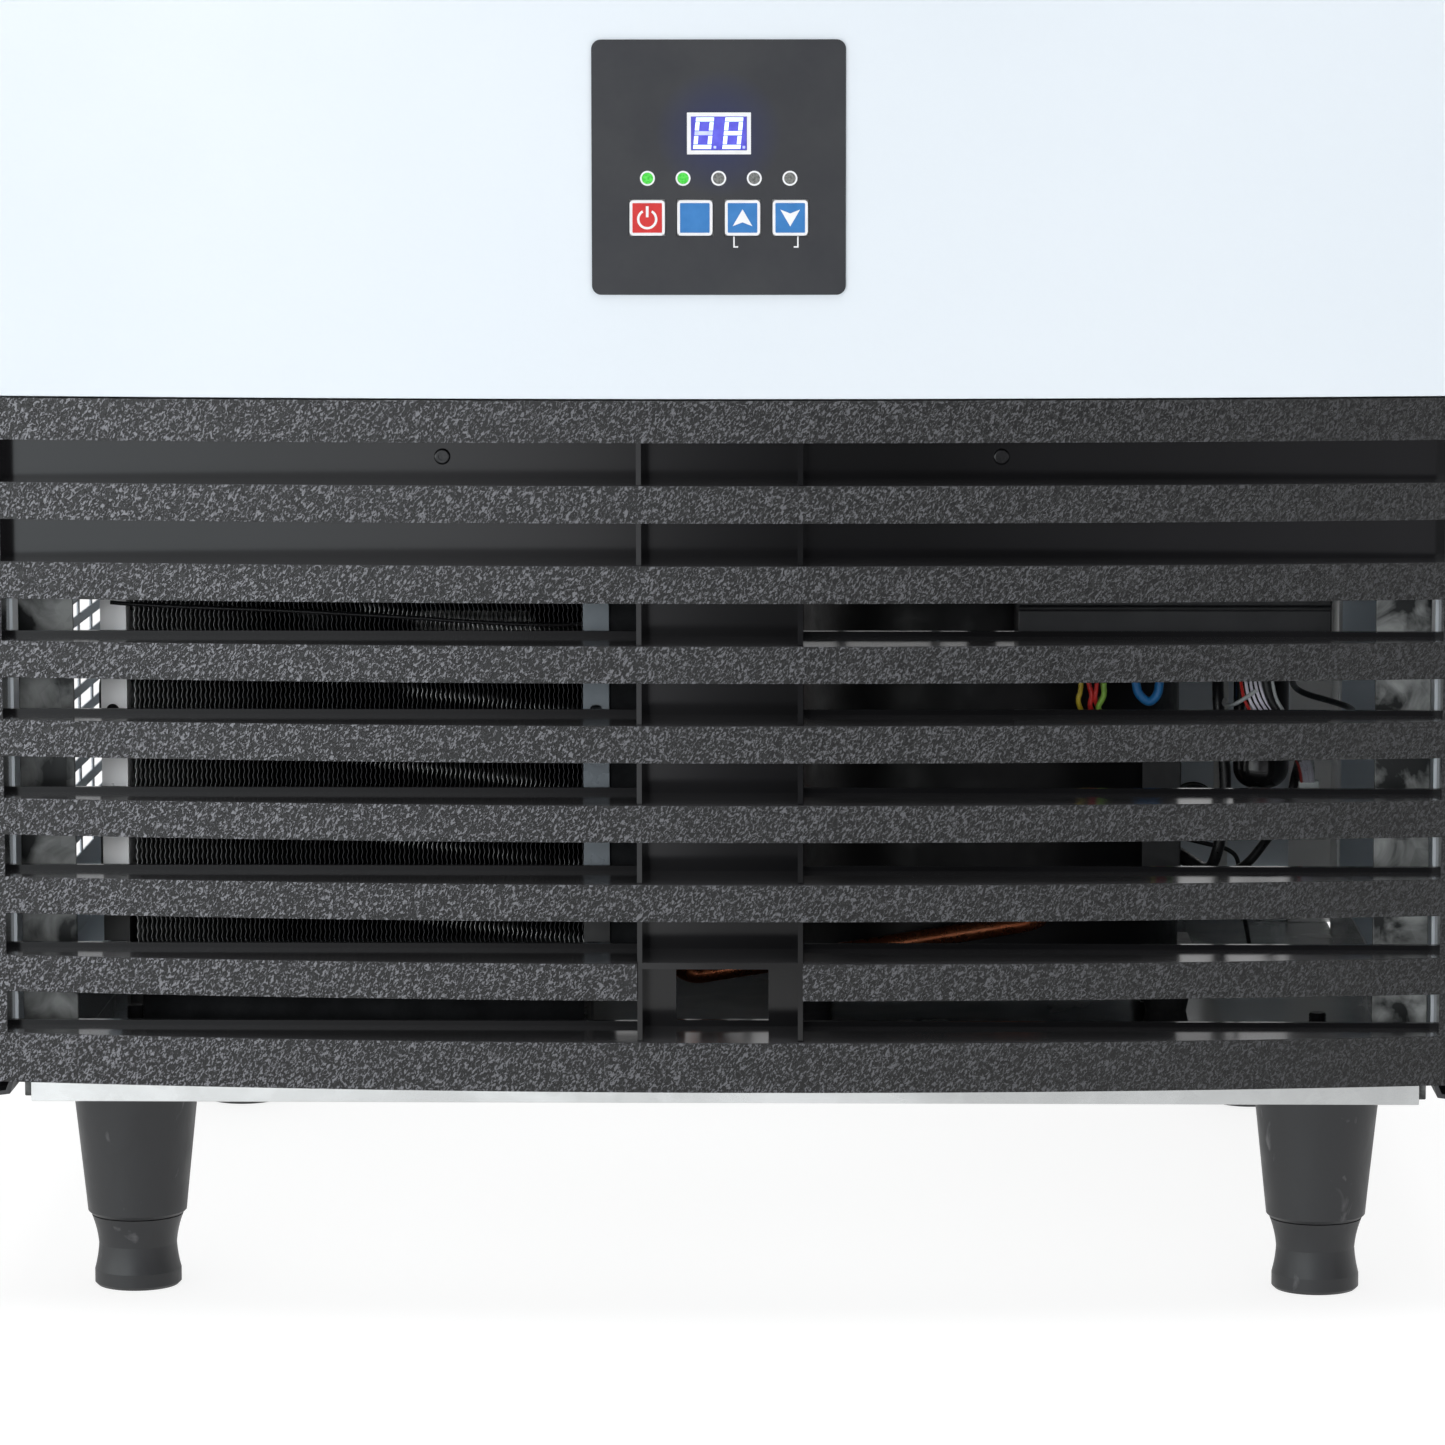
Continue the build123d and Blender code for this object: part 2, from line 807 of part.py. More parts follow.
def arm_x_span(margin=0):
    outer = half_width - hinge_arm_inset
    return (outer - hinge_arm - margin, outer + margin)


def door_skin():
    """The bowed steel face of the door, folded back all round."""
    back = front_y + door_thickness
    outer = bowed_block((-half_width, half_width), door_span(), back)
    outer = fillet(rear_top_edge(outer), hinge_back_set)
    inner_x = (sheet - half_width, half_width - sheet)
    inner = bowed_block(inner_x, (door_bottom + sheet, door_top - sheet), back + overrun, sheet)
    return outer - inner - both_sides(hinge_notch(arm_x_span(seam), seam))


def door_liner():
    """The door's foamed core and its dished inner face."""
    back = front_y + door_thickness
    half = half_width - sheet - door_edge_rail - seam
    core_z = (door_bottom + sheet + pin_clearance, door_top - sheet - pin_clearance)
    core = bowed_block((-half, half), core_z, back, sheet + pin_clearance)
    core = fillet(rear_top_edge(core), hinge_back_set - sheet)
    dish_x = half_width - mouth_side - door_dish_margin / 2
    dish_z = (mouth_bottom + door_dish_margin / 2, mouth_top - door_dish_margin / 2)
    dish = block((-dish_x, dish_x), (back - door_dish, back + overrun), dish_z)
    dish = chamfer(dish.faces().sort_by(Axis.Y)[0].edges(), door_dish - pin_clearance)
    notch_x = (half_width - hinge_arm_inset - hinge_arm - seam, half_width)
    return core - dish - both_sides(hinge_notch(notch_x, seam))


def door_end_rails():
    """Moulded rails that close the door's ends and turn on the hinge pins."""
    outer = half_width - sheet - pin_clearance
    inner = outer - door_edge_rail + pin_clearance
    rail_z = (door_bottom + sheet + pin_clearance, door_top - sheet - pin_clearance)
    rail = bowed_block((inner, outer), rail_z, front_y + door_thickness, sheet + pin_clearance)
    rail = fillet(rear_top_edge(rail), hinge_back_set - sheet)
    bore_end = (inner + hinge_pin_length + seam, hinge_y, hinge_z)
    bore = rod(hinge_pin_radius + pin_clearance, (inner - overrun, hinge_y, hinge_z), bore_end)
    return group(both_sides(rail - bore))


def door_gasket():
    """A soft seal that runs round the mouth on the door's back."""
    half = half_width - gasket_inset
    y_span = (front_y + door_thickness, frame_y - fit_gap)
    outer_z = (door_bottom + gasket_bottom_inset, door_top - gasket_top_inset)
    outer = block((-half, half), y_span, outer_z)
    inner_z = (outer_z[0] + gasket_width, outer_z[1] - gasket_width)
    inner_half = half - gasket_width
    return outer - block((-inner_half, inner_half), (y_span[0] - overrun, y_span[1] + overrun), inner_z)


def door_grip():
    """A bowed pull along the door's lower edge, hollowed underneath for the fingers."""
    half = grip_width / 2
    bottom = door_bottom + sheet
    top = bottom + grip_height
    body = bowed_block((-half, half), (bottom, top), frame_y, -grip_reach)
    body &= block((-half, half), (front_y - grip_reach, frame_y), (bottom, top))
    front_top = body.edges().sort_by(lambda edge: edge.center().Z - edge.center().Y)[-1:]
    body = chamfer(front_top, grip_wall)
    hollow_x = (grip_wall - half, half - grip_wall)
    hollow_z = (bottom - overrun, top - grip_wall)
    hollow = bowed_block(hollow_x, hollow_z, frame_y, grip_wall - grip_reach)
    hollow -= bowed_block(hollow_x, hollow_z, frame_y + overrun, -grip_wall / 2)
    return body - bowed_block((-half, half), (bottom, top), frame_y + overrun) - hollow


def hinge_brackets():
    """Plates on the cabinet's head, each with an arm and a stub pin for the door."""
    arm_x = arm_x_span()
    middle = (arm_x[0] + arm_x[1]) / 2
    plate_x = (middle - hinge_plate_width / 2, middle + hinge_plate_width / 2)
    plate = block(plate_x, (frame_y - hinge_plate, frame_y), (door_top - hinge_plate_height, door_top))
    arm_z = (hinge_z - hinge_eye_radius, hinge_z + hinge_eye_radius)
    arm = block(arm_x, (hinge_y, frame_y - hinge_plate), arm_z)
    inner, outer = [(x, hinge_y, hinge_z) for x in arm_x]
    eye = rod(hinge_eye_radius, inner, outer)
    pin = rod(hinge_pin_radius, outer, (arm_x[1] + hinge_pin_length, hinge_y, hinge_z))
    return group(both_sides(plate + arm + eye + pin))


def spread(count, pitch):
    """Places along X of a centred row."""
    return [(index - (count - 1) / 2) * pitch for index in range(count)]


def control_holes(margin, y_span):
    """Openings for the keys, the lamps and the display; all but the keys' grow by the margin."""
    holes = []
    half = key_size / 2 + key_hole_clearance
    for x in spread(len(key_names), key_pitch):
        holes.append(block((x - half, x + half), y_span, (keys_z - half, keys_z + half)))
    radius = indicator_radius + pin_clearance + margin / 2
    for x in spread(indicator_count, indicator_pitch):
        holes.append(rod(radius, (x, y_span[0], indicators_z), (x, y_span[1], indicators_z)))
    half_w = display_width / 2 + margin
    half_h = display_height / 2 + margin
    holes.append(block((-half_w, half_w), y_span, (display_z - half_h, display_z + half_h)))
    return holes


def control_overlay():
    """The faceplate, which follows the bow."""
    half = control_size / 2
    z_span = (control_height - half, control_height + half)
    plate = bowed_block((-half, half), z_span, frame_y, -overlay_thickness)
    plate -= bowed_block((-half, half), z_span, frame_y + overrun)
    plate = fillet(plate.edges().filter_by(Axis.Y), control_corner)
    return plate - control_holes(0, (front_y - overrun, front_y + overrun))


def control_housing():
    """The box behind the faceplate that guides the keys and holds the board."""
    half = housing_size / 2
    face_y = front_y + housing_face_depth
    back_y = face_y + housing_depth
    box = block((-half, half), (face_y, back_y), (control_height - half, control_height + half))
    inner = half - housing_wall
    inner_z = (control_height - inner, control_height + inner)
    box -= block((-inner, inner), (face_y + housing_face, back_y + overrun), inner_z)
    return box - control_holes(display_body_margin + key_hole_clearance, (face_y - overrun, face_y + overrun))


def control_board():
    """The circuit board with its two-digit display and four switches."""
    half = board_size / 2
    wide = housing_size / 2 - housing_wall
    y = front_y + board_depth
    board = block((-wide, wide), (y, y + board_thickness), (control_height - half, control_height + half))
    switch = switch_size / 2
    for x in spread(len(key_names), key_pitch):
        board += block((x - switch, x + switch), (y - switch_height, y), (keys_z - switch, keys_z + switch))
    half_w = display_width / 2 + display_body_margin
    half_h = display_height / 2 + display_body_margin
    display_span = (display_z - half_h, display_z + half_h)
    return board + block((-half_w, half_w), (front_y + housing_face_depth, y), display_span)


def indicator_lamps():
    """Small lamps standing on the board, flush with the faceplate."""
    y_span = (front_y - overlay_thickness, front_y + board_depth)
    return group([
        rod(indicator_radius, (x, y_span[0], indicators_z), (x, y_span[1], indicators_z))
        for x in spread(indicator_count, indicator_pitch)
    ])


def key(x):
    """A key cap with its retaining flange and stem."""
    half = key_size / 2
    z = keys_z
    front = front_y - overlay_thickness - key_proud
    flange_y = front_y + housing_face_depth + housing_face + pin_clearance
    cap = block((x - half, x + half), (front, flange_y), (z - half, z + half))
    cap = fillet(cap.edges().filter_by(Axis.Y), key_corner)
    wide = half + key_flange
    flange = block((x - wide, x + wide), (flange_y, flange_y + key_flange_depth), (z - wide, z + wide))
    stem_end = front_y + board_depth - switch_height - key_travel - pin_clearance
    return cap + flange + rod(key_stem_radius, (x, flange_y, z), (x, stem_end, z))


def condenser_span():
    left = -condenser_left + condenser_plate
    return (left, left + condenser_core_width)


def condenser_y_span():
    front = front_y + condenser_front_depth
    return (front, front + condenser_thickness)


def condenser_tube_places():
    """Centres of the tubes in the core, in two ranks."""
    front, rear = condenser_y_span()
    ranks = (front + fin_groove + tube_radius + fit_gap, rear - fin_groove - tube_radius - fit_gap)
    pitch = condenser_height / tube_rows
    return [(y, condenser_bottom + (row + 0.5) * pitch) for y in ranks for row in range(tube_rows)]


def condenser_fins():
    """The fin pack: fins stand free at the front and the rear and close up round the tubes."""
    left, right = condenser_span()
    front, rear = condenser_y_span()
    z_span = (condenser_bottom, condenser_bottom + condenser_height)
    pack = block((left, right), (front + fin_groove, rear - fin_groove), z_span)
    for y, z in condenser_tube_places():
        pack -= rod(tube_radius + pin_clearance, (left - overrun, y, z), (right + overrun, y, z))
    pitch = condenser_core_width / fin_count
    thickness = pitch * fin_thickness_share
    fins = []
    for index in range(fin_count):
        x = left + index * pitch
        for y_span in ((front, front + fin_groove), (rear - fin_groove, rear)):
            fins.append(block((x, x + thickness), y_span, z_span))
    return pack + fins


def condenser_end_plate(x_wall, x_face):
    """One end plate: a wall beside the core, folded out front and rear, with a foot on the pan."""
    y_span = condenser_y_span()
    z_span = (condenser_bottom - condenser_margin, condenser_bottom + condenser_height + condenser_margin)
    face_x = (min(x_face, x_wall), max(x_face, x_wall + condenser_sheet))
    plate = block((x_wall, x_wall + condenser_sheet), y_span, (pan_top, z_span[1]))
    plate += block(face_x, (y_span[0], y_span[0] + condenser_sheet), z_span)
    plate += block(face_x, (y_span[1] - condenser_sheet, y_span[1]), z_span)
    for y, z in condenser_tube_places():
        plate -= rod(tube_radius + pin_clearance, (x_wall - overrun, y, z), (x_wall + overrun, y, z))
    x, y = (x_face + x_wall) / 2, y_span[0]
    return plate - rod(plate_hole_radius, (x, y - overrun, condenser_z), (x, y + overrun, condenser_z))


def condenser_end_plates():
    """The folded plates at both ends of the core."""
    left, right = condenser_span()
    return group([
        condenser_end_plate(left - condenser_sheet, left - condenser_plate),
        condenser_end_plate(right, right + condenser_plate),
    ])


def condenser_tubes():
    """One tube through the core: up the front rank, over to the rear rank and down again."""
    left, right = condenser_span()
    out_left = left - condenser_sheet - return_bend_reach
    out_right = right + condenser_sheet + return_bend_reach
    places = condenser_tube_places()
    route = places[:tube_rows] + places[tube_rows:][::-1]
    points = []
    for index, (y, z) in enumerate(route):
        ends = (out_right, out_left) if index % 2 == 0 else (out_left, out_right)
        points += [(x, y, z) for x in ends]
    points[0], points[-1] = [(right + tube_end_reach, y, z) for y, z in (route[0], route[-1])]
    return pipe(points, return_bend_radius, tube_radius)


def fan_shroud():
    """A square plate with a round collar, carried by the condenser's end plates."""
    left, right = condenser_span()
    rear = condenser_y_span()[1]
    outer_x = (left - condenser_plate, right + condenser_plate)
    z_span = (condenser_bottom - condenser_margin, condenser_bottom + condenser_height + condenser_margin)
    plate_y = (rear + shroud_gap, rear + shroud_gap + shroud_wall)
    inner_x = (outer_x[0] + shroud_wall, outer_x[1] - shroud_wall)
    inner_z = (z_span[0] + shroud_wall, z_span[1] - shroud_wall)
    shroud = block(outer_x, (rear, plate_y[1]), z_span) - block(inner_x, (rear - overrun, plate_y[0]), inner_z)
    collar_end = plate_y[0] + shroud_collar
    ring_radius = fan_radius + fan_clearance
    axis_points = [(condenser_x, y, condenser_z) for y in (rear, plate_y[0], collar_end)]
    shroud += rod(ring_radius + shroud_wall, axis_points[1], axis_points[2])
    shroud += both_motor_arms(plate_y[1], ring_radius)
    return shroud - rod(ring_radius, axis_points[0], axis_points[2])


def both_motor_arms(start_y, ring_radius):
    """Arms from the shroud's plate back to the motor's face, one on each side of the fan."""
    end_y = motor_front_y()
    z_span = (condenser_z - motor_arm, condenser_z + motor_arm)
    outer = ring_radius + motor_arm
    arm = block((outer - motor_arm_thickness, outer), (start_y, end_y), z_span)
    arm += block((motor_radius - motor_arm, outer), (end_y - motor_arm_thickness, end_y), z_span)
    return [Pos(condenser_x, 0, 0) * side for side in both_sides(arm)]


def motor_front_y():
    return fan_y + fan_hub_length + motor_gap + motor_arm_thickness


def fan_motor():
    """A round motor with its shaft."""
    x, z = condenser_x, condenser_z
    front = motor_front_y()
    body = rod(motor_radius, (x, front, z), (x, front + motor_length, z))
    body = fillet(body.edges().filter_by(GeomType.CIRCLE), motor_edge)
    return body + rod(shaft_radius, (x, fan_y + motor_gap, z), (x, front, z))


def fan_blades():
    """A hub with pitched blades."""
    hub = rod(fan_hub_radius, (0, 0, 0), (0, fan_hub_length, 0))
    hub = fillet(hub.edges().filter_by(GeomType.CIRCLE).sort_by(Axis.Y)[:1], hub_edge)
    stations = (
        (fan_hub_radius - hub_edge, fan_root_chord, radians(fan_root_angle)),
        (fan_radius, fan_tip_chord, radians(fan_tip_angle)),
    )
    sections = []
    for radius, chord, pitch in stations:
        along = (0, sin(pitch), cos(pitch))
        plane = Plane(origin=(radius, fan_hub_length / 2, 0), x_dir=along, z_dir=(1, 0, 0))
        sections.append(plane * Rectangle(chord, fan_blade_thickness))
    blade = loft(sections, ruled=True)
    wheel = hub + [Rot(0, 360 * index / fan_blades_count, 0) * blade for index in range(fan_blades_count)]
    bore_start = (0, motor_gap - pin_clearance, 0)
    wheel -= rod(shaft_radius + pin_clearance, bore_start, (0, fan_hub_length + overrun, 0))
    return Pos(condenser_x, fan_y, condenser_z) * wheel


def compressor():
    """A welded shell with a seam and its mounting plate."""
    top = compressor_bottom + compressor_height
    seam_z = seam_bottom
    shoulder = top - compressor_dome
    sphere = (compressor_radius ** 2 + compressor_dome ** 2) / (2 * compressor_dome)
    crown = (compressor_radius / 2, top - sphere + sqrt(sphere ** 2 - compressor_radius ** 2 / 4))
    outline = [
        Polyline(
            (0, compressor_bottom),
            (compressor_radius - compressor_seam, compressor_bottom),
            (compressor_radius, compressor_bottom + compressor_seam),
            (compressor_radius, seam_z),
            (compressor_radius + compressor_seam, seam_z),
            (compressor_radius + compressor_seam, seam_z + compressor_seam),
            (compressor_radius, seam_z + compressor_seam),
            (compressor_radius, shoulder),
        ),
        ThreePointArc((compressor_radius, shoulder), crown, (0, top)),
        Line((0, top), (0, compressor_bottom)),
    ]
    y = front_y + compressor_depth
    shell = turned(outline, compressor_x, y)
    half_w = compressor_plate_width / 2
    half_d = compressor_plate_depth / 2
    plate = block(
        (compressor_x - half_w, compressor_x + half_w),
        (y - half_d, y + half_d),
        (compressor_bottom - compressor_plate, compressor_bottom),
    )
    hole_z = (compressor_bottom - overrun, compressor_bottom + overrun)
    for x, hole_y in grommet_places():
        plate -= rod(screw_radius + pin_clearance, (x, hole_y, hole_z[0]), (x, hole_y, hole_z[1]))
    return shell + plate


def grommet_places():
    half_w = compressor_plate_width / 2 - grommet_inset
    half_d = compressor_plate_depth / 2 - grommet_inset
    y = front_y + compressor_depth
    return [(compressor_x + side * half_w, y + end * half_d) for side in (-1, 1) for end in (-1, 1)]


def compressor_grommets():
    """Rubber feet with their bolts, between the pan and the compressor's plate."""
    grommets = []
    for x, y in grommet_places():
        low, high = pan_top, compressor_bottom - compressor_plate
        waist = (low + high) / 2
        outline = Polyline(
            (0, low), (grommet_radius, low), (grommet_radius - screw_radius, waist), (grommet_radius, high),
            (screw_radius, high), (screw_radius, compressor_bottom), (screw_head_radius, compressor_bottom),
            (screw_head_radius, compressor_bottom + screw_head), (0, compressor_bottom + screw_head), (0, low),
        )
        grommets.append(turned(outline, x, y))
    return group(grommets)


def terminal_cover():
    """The cover over the compressor's terminals, on its right-hand side."""
    y = front_y + compressor_depth
    x = compressor_x + compressor_radius + terminal_reach
    z_span = (terminal_bottom, terminal_bottom + terminal_height)
    cover = block((x - terminal_length, x), (y - terminal_depth, y), z_span)
    seam_radius = compressor_radius + compressor_seam
    seam_z = (seam_bottom - fit_gap, seam_bottom + compressor_seam + fit_gap)
    for radius, (low, high) in ((compressor_radius, z_span), (seam_radius, seam_z)):
        cover -= rod(radius + fit_gap, (compressor_x, y, low), (compressor_x, y, high))
    return cover


def electric_box():
    """The starter and relay box, hung from the deck."""
    wall = electric_box_wall
    top = deck_height - pan_sheet
    bottom = top - electric_box_height
    front = front_y + electric_box_front_depth
    x_span = (electric_box_left, electric_box_left + electric_box_width)
    y_span = (front, front + electric_box_depth)
    spans = [(low + wall, high - wall) for low, high in (x_span, y_span, (bottom, top))]
    ledge_bottom = bottom + electric_box_height / 4
    ledge = block(x_span, (front - wall, front), (ledge_bottom, ledge_bottom + wall))
    return block(x_span, y_span, (bottom, top)) - block(*spans) + ledge


def run_capacitor():
    """A black can with a rounded end, hung under the electric box."""
    top = deck_height - pan_sheet - electric_box_height
    bottom = top - capacitor_length
    y = front_y + electric_box_front_depth + electric_box_depth / 2
    can = rod(capacitor_radius, (capacitor_x, y, bottom), (capacitor_x, y, top))
    return fillet(can.edges().filter_by(GeomType.CIRCLE).sort_by(Axis.Z)[:1], capacitor_crown)


def filter_drier():
    """A copper drier standing between its two necks."""
    y = front_y + drier_depth
    top = drier_bottom + drier_length
    cone = drier_radius - drier_neck_radius
    outline = Polyline(
        (0, drier_bottom - drier_neck_length),
        (drier_neck_radius, drier_bottom - drier_neck_length),
        (drier_neck_radius, drier_bottom),
        (drier_radius, drier_bottom + cone),
        (drier_radius, top - cone),
        (drier_neck_radius, top),
        (drier_neck_radius, top + drier_neck_length),
        (0, top + drier_neck_length),
        (0, drier_bottom - drier_neck_length),
    )
    return turned(outline, drier_x, y)


def discharge_pipe():
    """The hot pipe from the compressor's front, falling to the left towards the condenser."""
    y = front_y + hot_pipe_depth
    nearest = hot_pipe_offset - pipe_radius
    shell_y = front_y + compressor_depth - sqrt(compressor_radius ** 2 - nearest ** 2)
    x = compressor_x + hot_pipe_offset
    tube_y, tube_z = condenser_tube_places()[0]
    points = [
        (x, shell_y - fit_gap, hot_pipe_height),
        (x, y, hot_pipe_height),
        (hot_pipe_left, y, hot_pipe_left_height),
        (hot_pipe_left, tube_y, tube_z),
        (condenser_span()[1] + tube_end_reach + fit_gap, tube_y, tube_z),
    ]
    return pipe(points, pipe_bend, pipe_radius)


def suction_pipe():
    """The lagged suction pipe from the bin's coil down to the compressor's back."""
    shell_y = front_y + compressor_depth + compressor_radius
    y = shell_y + suction_clearance + suction_radius
    points = [
        (compressor_x, y, deck_height - pan_sheet - fit_gap),
        (compressor_x, y, suction_height),
        (compressor_x, shell_y + fit_gap, suction_height),
    ]
    return pipe(points, suction_bend, suction_radius)


def hot_gas_valve():
    """A solenoid valve with its round coil, hung under the deck."""
    y = front_y + valve_depth
    half = valve_body / 2
    coil_top = valve_height + valve_coil_length
    deck_bottom = deck_height - pan_sheet
    body_z = (valve_height - valve_body, valve_height)
    valve = block((valve_x - half, valve_x + half), (y - half, y + half), body_z)
    valve += rod(valve_coil_radius, (valve_x, y, valve_height), (valve_x, y, coil_top))
    return valve + rod(drier_neck_radius, (valve_x, y, coil_top), (valve_x, y, deck_bottom - fit_gap))


def liquid_pipe():
    """The pipe between the drier and the hot gas valve."""
    drier_top = drier_bottom + drier_length + drier_neck_length
    drier_y = front_y + drier_depth
    valve_y = front_y + valve_depth
    valve_z = valve_height - valve_body / 2
    valve_front = valve_y - valve_body / 2
    points = [
        (drier_x, drier_y, drier_top + fit_gap),
        (drier_x, drier_y, drier_top + pipe_rise),
        (valve_x, valve_front - pipe_rise, drier_top + pipe_rise),
        (valve_x, valve_front - pipe_rise, valve_z),
        (valve_x, valve_front - fit_gap, valve_z),
    ]
    return pipe(points, pipe_bend, pipe_radius)


def return_pipe():
    """The pipe from the condenser's outlet to the foot of the drier."""
    tube_y, tube_z = condenser_tube_places()[tube_rows]
    drier_y = front_y + drier_depth
    low = drier_bottom - drier_neck_length - pipe_rise
    points = [
        (condenser_span()[1] + tube_end_reach + fit_gap, tube_y, tube_z),
        (drier_x, tube_y, tube_z),
        (drier_x, drier_y, low),
        (drier_x, drier_y, drier_bottom - drier_neck_length - fit_gap),
    ]
    return pipe(points, pipe_bend, pipe_radius)


def refrigerant_pipes():
    return group([discharge_pipe(), liquid_pipe(), return_pipe()])


def water_valve():
    """The inlet valve: its thread stands out of the rear panel, its tube runs up into the bin."""
    outer_end = rear_y + rear_fitting_reach
    body_start = rear_y - sheet - inlet_body_length
    coil_y = body_start + inlet_body_radius
    x, z = inlet_x, inlet_height
    valve = rod(inlet_thread_radius, (x, rear_y + inlet_flange, z), (x, outer_end, z))
    valve += rod(inlet_flange_radius, (x, rear_y, z), (x, rear_y + inlet_flange, z))
    valve += rod(inlet_body_radius, (x, body_start, z), (x, rear_y, z))
    valve += rod(inlet_body_radius, (x, coil_y, z), (x, coil_y, z + inlet_body_length))
    valve -= rod(inlet_bore_radius, (x, outer_end - inlet_bore_depth, z), (x, outer_end + overrun, z))
    rear_run = rear_y - water_tube_rear_gap
    low = water_tube_height
    tube = pipe([
        (x, coil_y, z - inlet_body_radius + fit_gap),
        (x, coil_y, low),
        (water_tube_left, rear_run, low),
        (tube_up_x, rear_run, low),
        (tube_up_x, tube_up_y, low + pipe_rise),
        (tube_up_x, tube_up_y, liner_floor - liner_wall - fit_gap),
    ], pipe_bend, water_tube_radius)
    return valve + tube


def drain_hose():
    """The drain: from the bin's floor down to the spigot at the rear."""
    spigot_y = (rear_y - sheet - spigot_inside, rear_y + rear_fitting_reach)
    spigot = rod(drain_radius, (drain_x, spigot_y[0], drain_height), (drain_x, spigot_y[1], drain_height))
    flange_end = (drain_x, rear_y + drain_flange, drain_height)
    spigot += rod(drain_flange_radius, (drain_x, rear_y, drain_height), flange_end)
    hose = pipe([
        (drain_x, drain_y, liner_floor - liner_wall - fit_gap),
        (drain_x, drain_y, drain_height),
        (drain_x, spigot_y[0], drain_height),
    ], drain_bend, drain_radius)
    bore_end = (drain_x, spigot_y[1] + overrun, drain_height)
    return hose + spigot - rod(drain_bore_radius, (drain_x, rear_y, drain_height), bore_end)


def cord_gland():
    """The gland for the mains lead, without a lead."""
    x, z = gland_x, gland_height
    inner_end = rear_y - sheet - gland_inside
    outer_end = rear_y + gland_flange
    gland = rod(gland_radius, (x, inner_end, z), (x, outer_end, z))
    gland += rod(gland_flange_radius, (x, rear_y, z), (x, outer_end, z))
    return gland - rod(gland_bore_radius, (x, inner_end - overrun, z), (x, outer_end + overrun, z))


def evaporator_front_y():
    return liner_rear_y - evaporator_rear_gap - evaporator_thickness


def evaporator_top():
    return evaporator_bottom + evaporator_height


def evaporator():
    """The ice mould: a grid of square pockets on a back plate, on four standoffs."""
    half = evaporator_half
    front = evaporator_front_y()
    back = front + evaporator_thickness
    grid = block((-half, half), (front, back), (evaporator_bottom, evaporator_top()))
    pocket_wall = evaporator_web / 2
    pockets = []
    for column in range(evaporator_columns):
        x = column * evaporator_cell - evaporator_columns * evaporator_cell / 2
        for row in range(evaporator_rows):
            z = evaporator_bottom + evaporator_margin + row * evaporator_cell
            pockets.append(block(
                (x + pocket_wall, x + evaporator_cell - pocket_wall),
                (front - overrun, back - evaporator_back),
                (z + pocket_wall, z + evaporator_cell - pocket_wall),
            ))
    standoffs = []
    for x in (standoff_radius - half, half - standoff_radius):
        for z in (evaporator_bottom + standoff_radius, evaporator_top() - standoff_radius):
            standoffs.append(rod(standoff_radius, (x, back, z), (x, liner_rear_y, z)))
    return grid - pockets + standoffs


def evaporator_coil():
    """The copper coil soldered to the back of the mould."""
    back = evaporator_front_y() + evaporator_thickness
    y = back + coil_radius + pin_clearance
    reach = evaporator_columns * evaporator_cell / 2 - standoff_radius * 4
    pitch = (evaporator_top() - evaporator_bottom) / coil_runs
    points = []
    for run in range(coil_runs):
        z = evaporator_bottom + (run + 0.5) * pitch
        ends = (-reach, reach) if run % 2 == 0 else (reach, -reach)
        points += [(ends[0], y, z), (ends[1], y, z)]
    return pipe(points, pitch / 2 - fit_gap, coil_radius)


def distributor_z():
    return evaporator_top() + distributor_rise


def distributor_y():
    return evaporator_front_y() + distributor_radius


def water_distributor():
    """The drilled tube that wets the mould, on two saddles."""
    half = evaporator_columns * evaporator_cell / 2
    y, z = distributor_y(), distributor_z()
    inner = distributor_radius - distributor_wall
    tube = rod(distributor_radius, (-half, y, z), (half, y, z))
    tube -= rod(inner, (distributor_wall - half, y, z), (half + overrun, y, z))
    for x in spread(distributor_holes, 2 * half / (distributor_holes + 1)):
        tube -= rod(distributor_hole_radius, (x, y, z - distributor_radius - overrun), (x, y, z))
    saddle_x = (half - distributor_radius - distributor_wall, half - distributor_radius + distributor_wall)
    return tube + both_sides(block(saddle_x, (y - inner, y + inner), (evaporator_top(), z - inner)))


def curtain_y():
    return evaporator_front_y() - curtain_gap


def splash_curtain():
    """The hinged curtain in front of the mould, with ribs across it."""
    half = curtain_width / 2
    y, z = curtain_y(), distributor_z()
    wall = curtain_thickness / 2
    curtain = block((-half, half), (y - wall, y + wall), (z - curtain_drop, z))
    for index in range(1, curtain_ribs):
        rib_z = z - index * curtain_drop / curtain_ribs
        curtain += block((-half, half), (y - wall - curtain_rib, y - wall), (rib_z - wall, rib_z + wall))
    pin_end = half + curtain_pin_length
    curtain += rod(curtain_pin_radius + wall, (-half, y, z), (half, y, z))
    return curtain + rod(curtain_pin_radius, (-pin_end, y, z), (pin_end, y, z))


def curtain_ears():
    """Ears moulded on the bin's roof that carry the curtain's pins."""
    y, z = curtain_y(), distributor_z()
    inner = curtain_width / 2 + seam
    half = curtain_arm_height / 2
    ear = block((inner, inner + curtain_arm), (y - half, y + half), (z - half, liner_roof + liner_wall / 2))
    bore_x = (inner - overrun, inner + curtain_arm + overrun)
    ear -= rod(curtain_pin_radius + pin_clearance, (bore_x[0], y, z), (bore_x[1], y, z))
    return both_sides(ear)


def trough_y_span():
    return (evaporator_front_y() - trough_front_gap, liner_rear_y)


def water_trough():
    """The open trough under the mould."""
    wall = trough_wall
    x_span = (-trough_left, trough_right)
    y_span = trough_y_span()
    top = trough_bottom + trough_height
    inner_x, inner_y = [(low + wall, high - wall) for low, high in (x_span, y_span)]
    inner_z = (trough_bottom + wall, top + overrun)
    return block(x_span, y_span, (trough_bottom, top)) - block(inner_x, inner_y, inner_z)


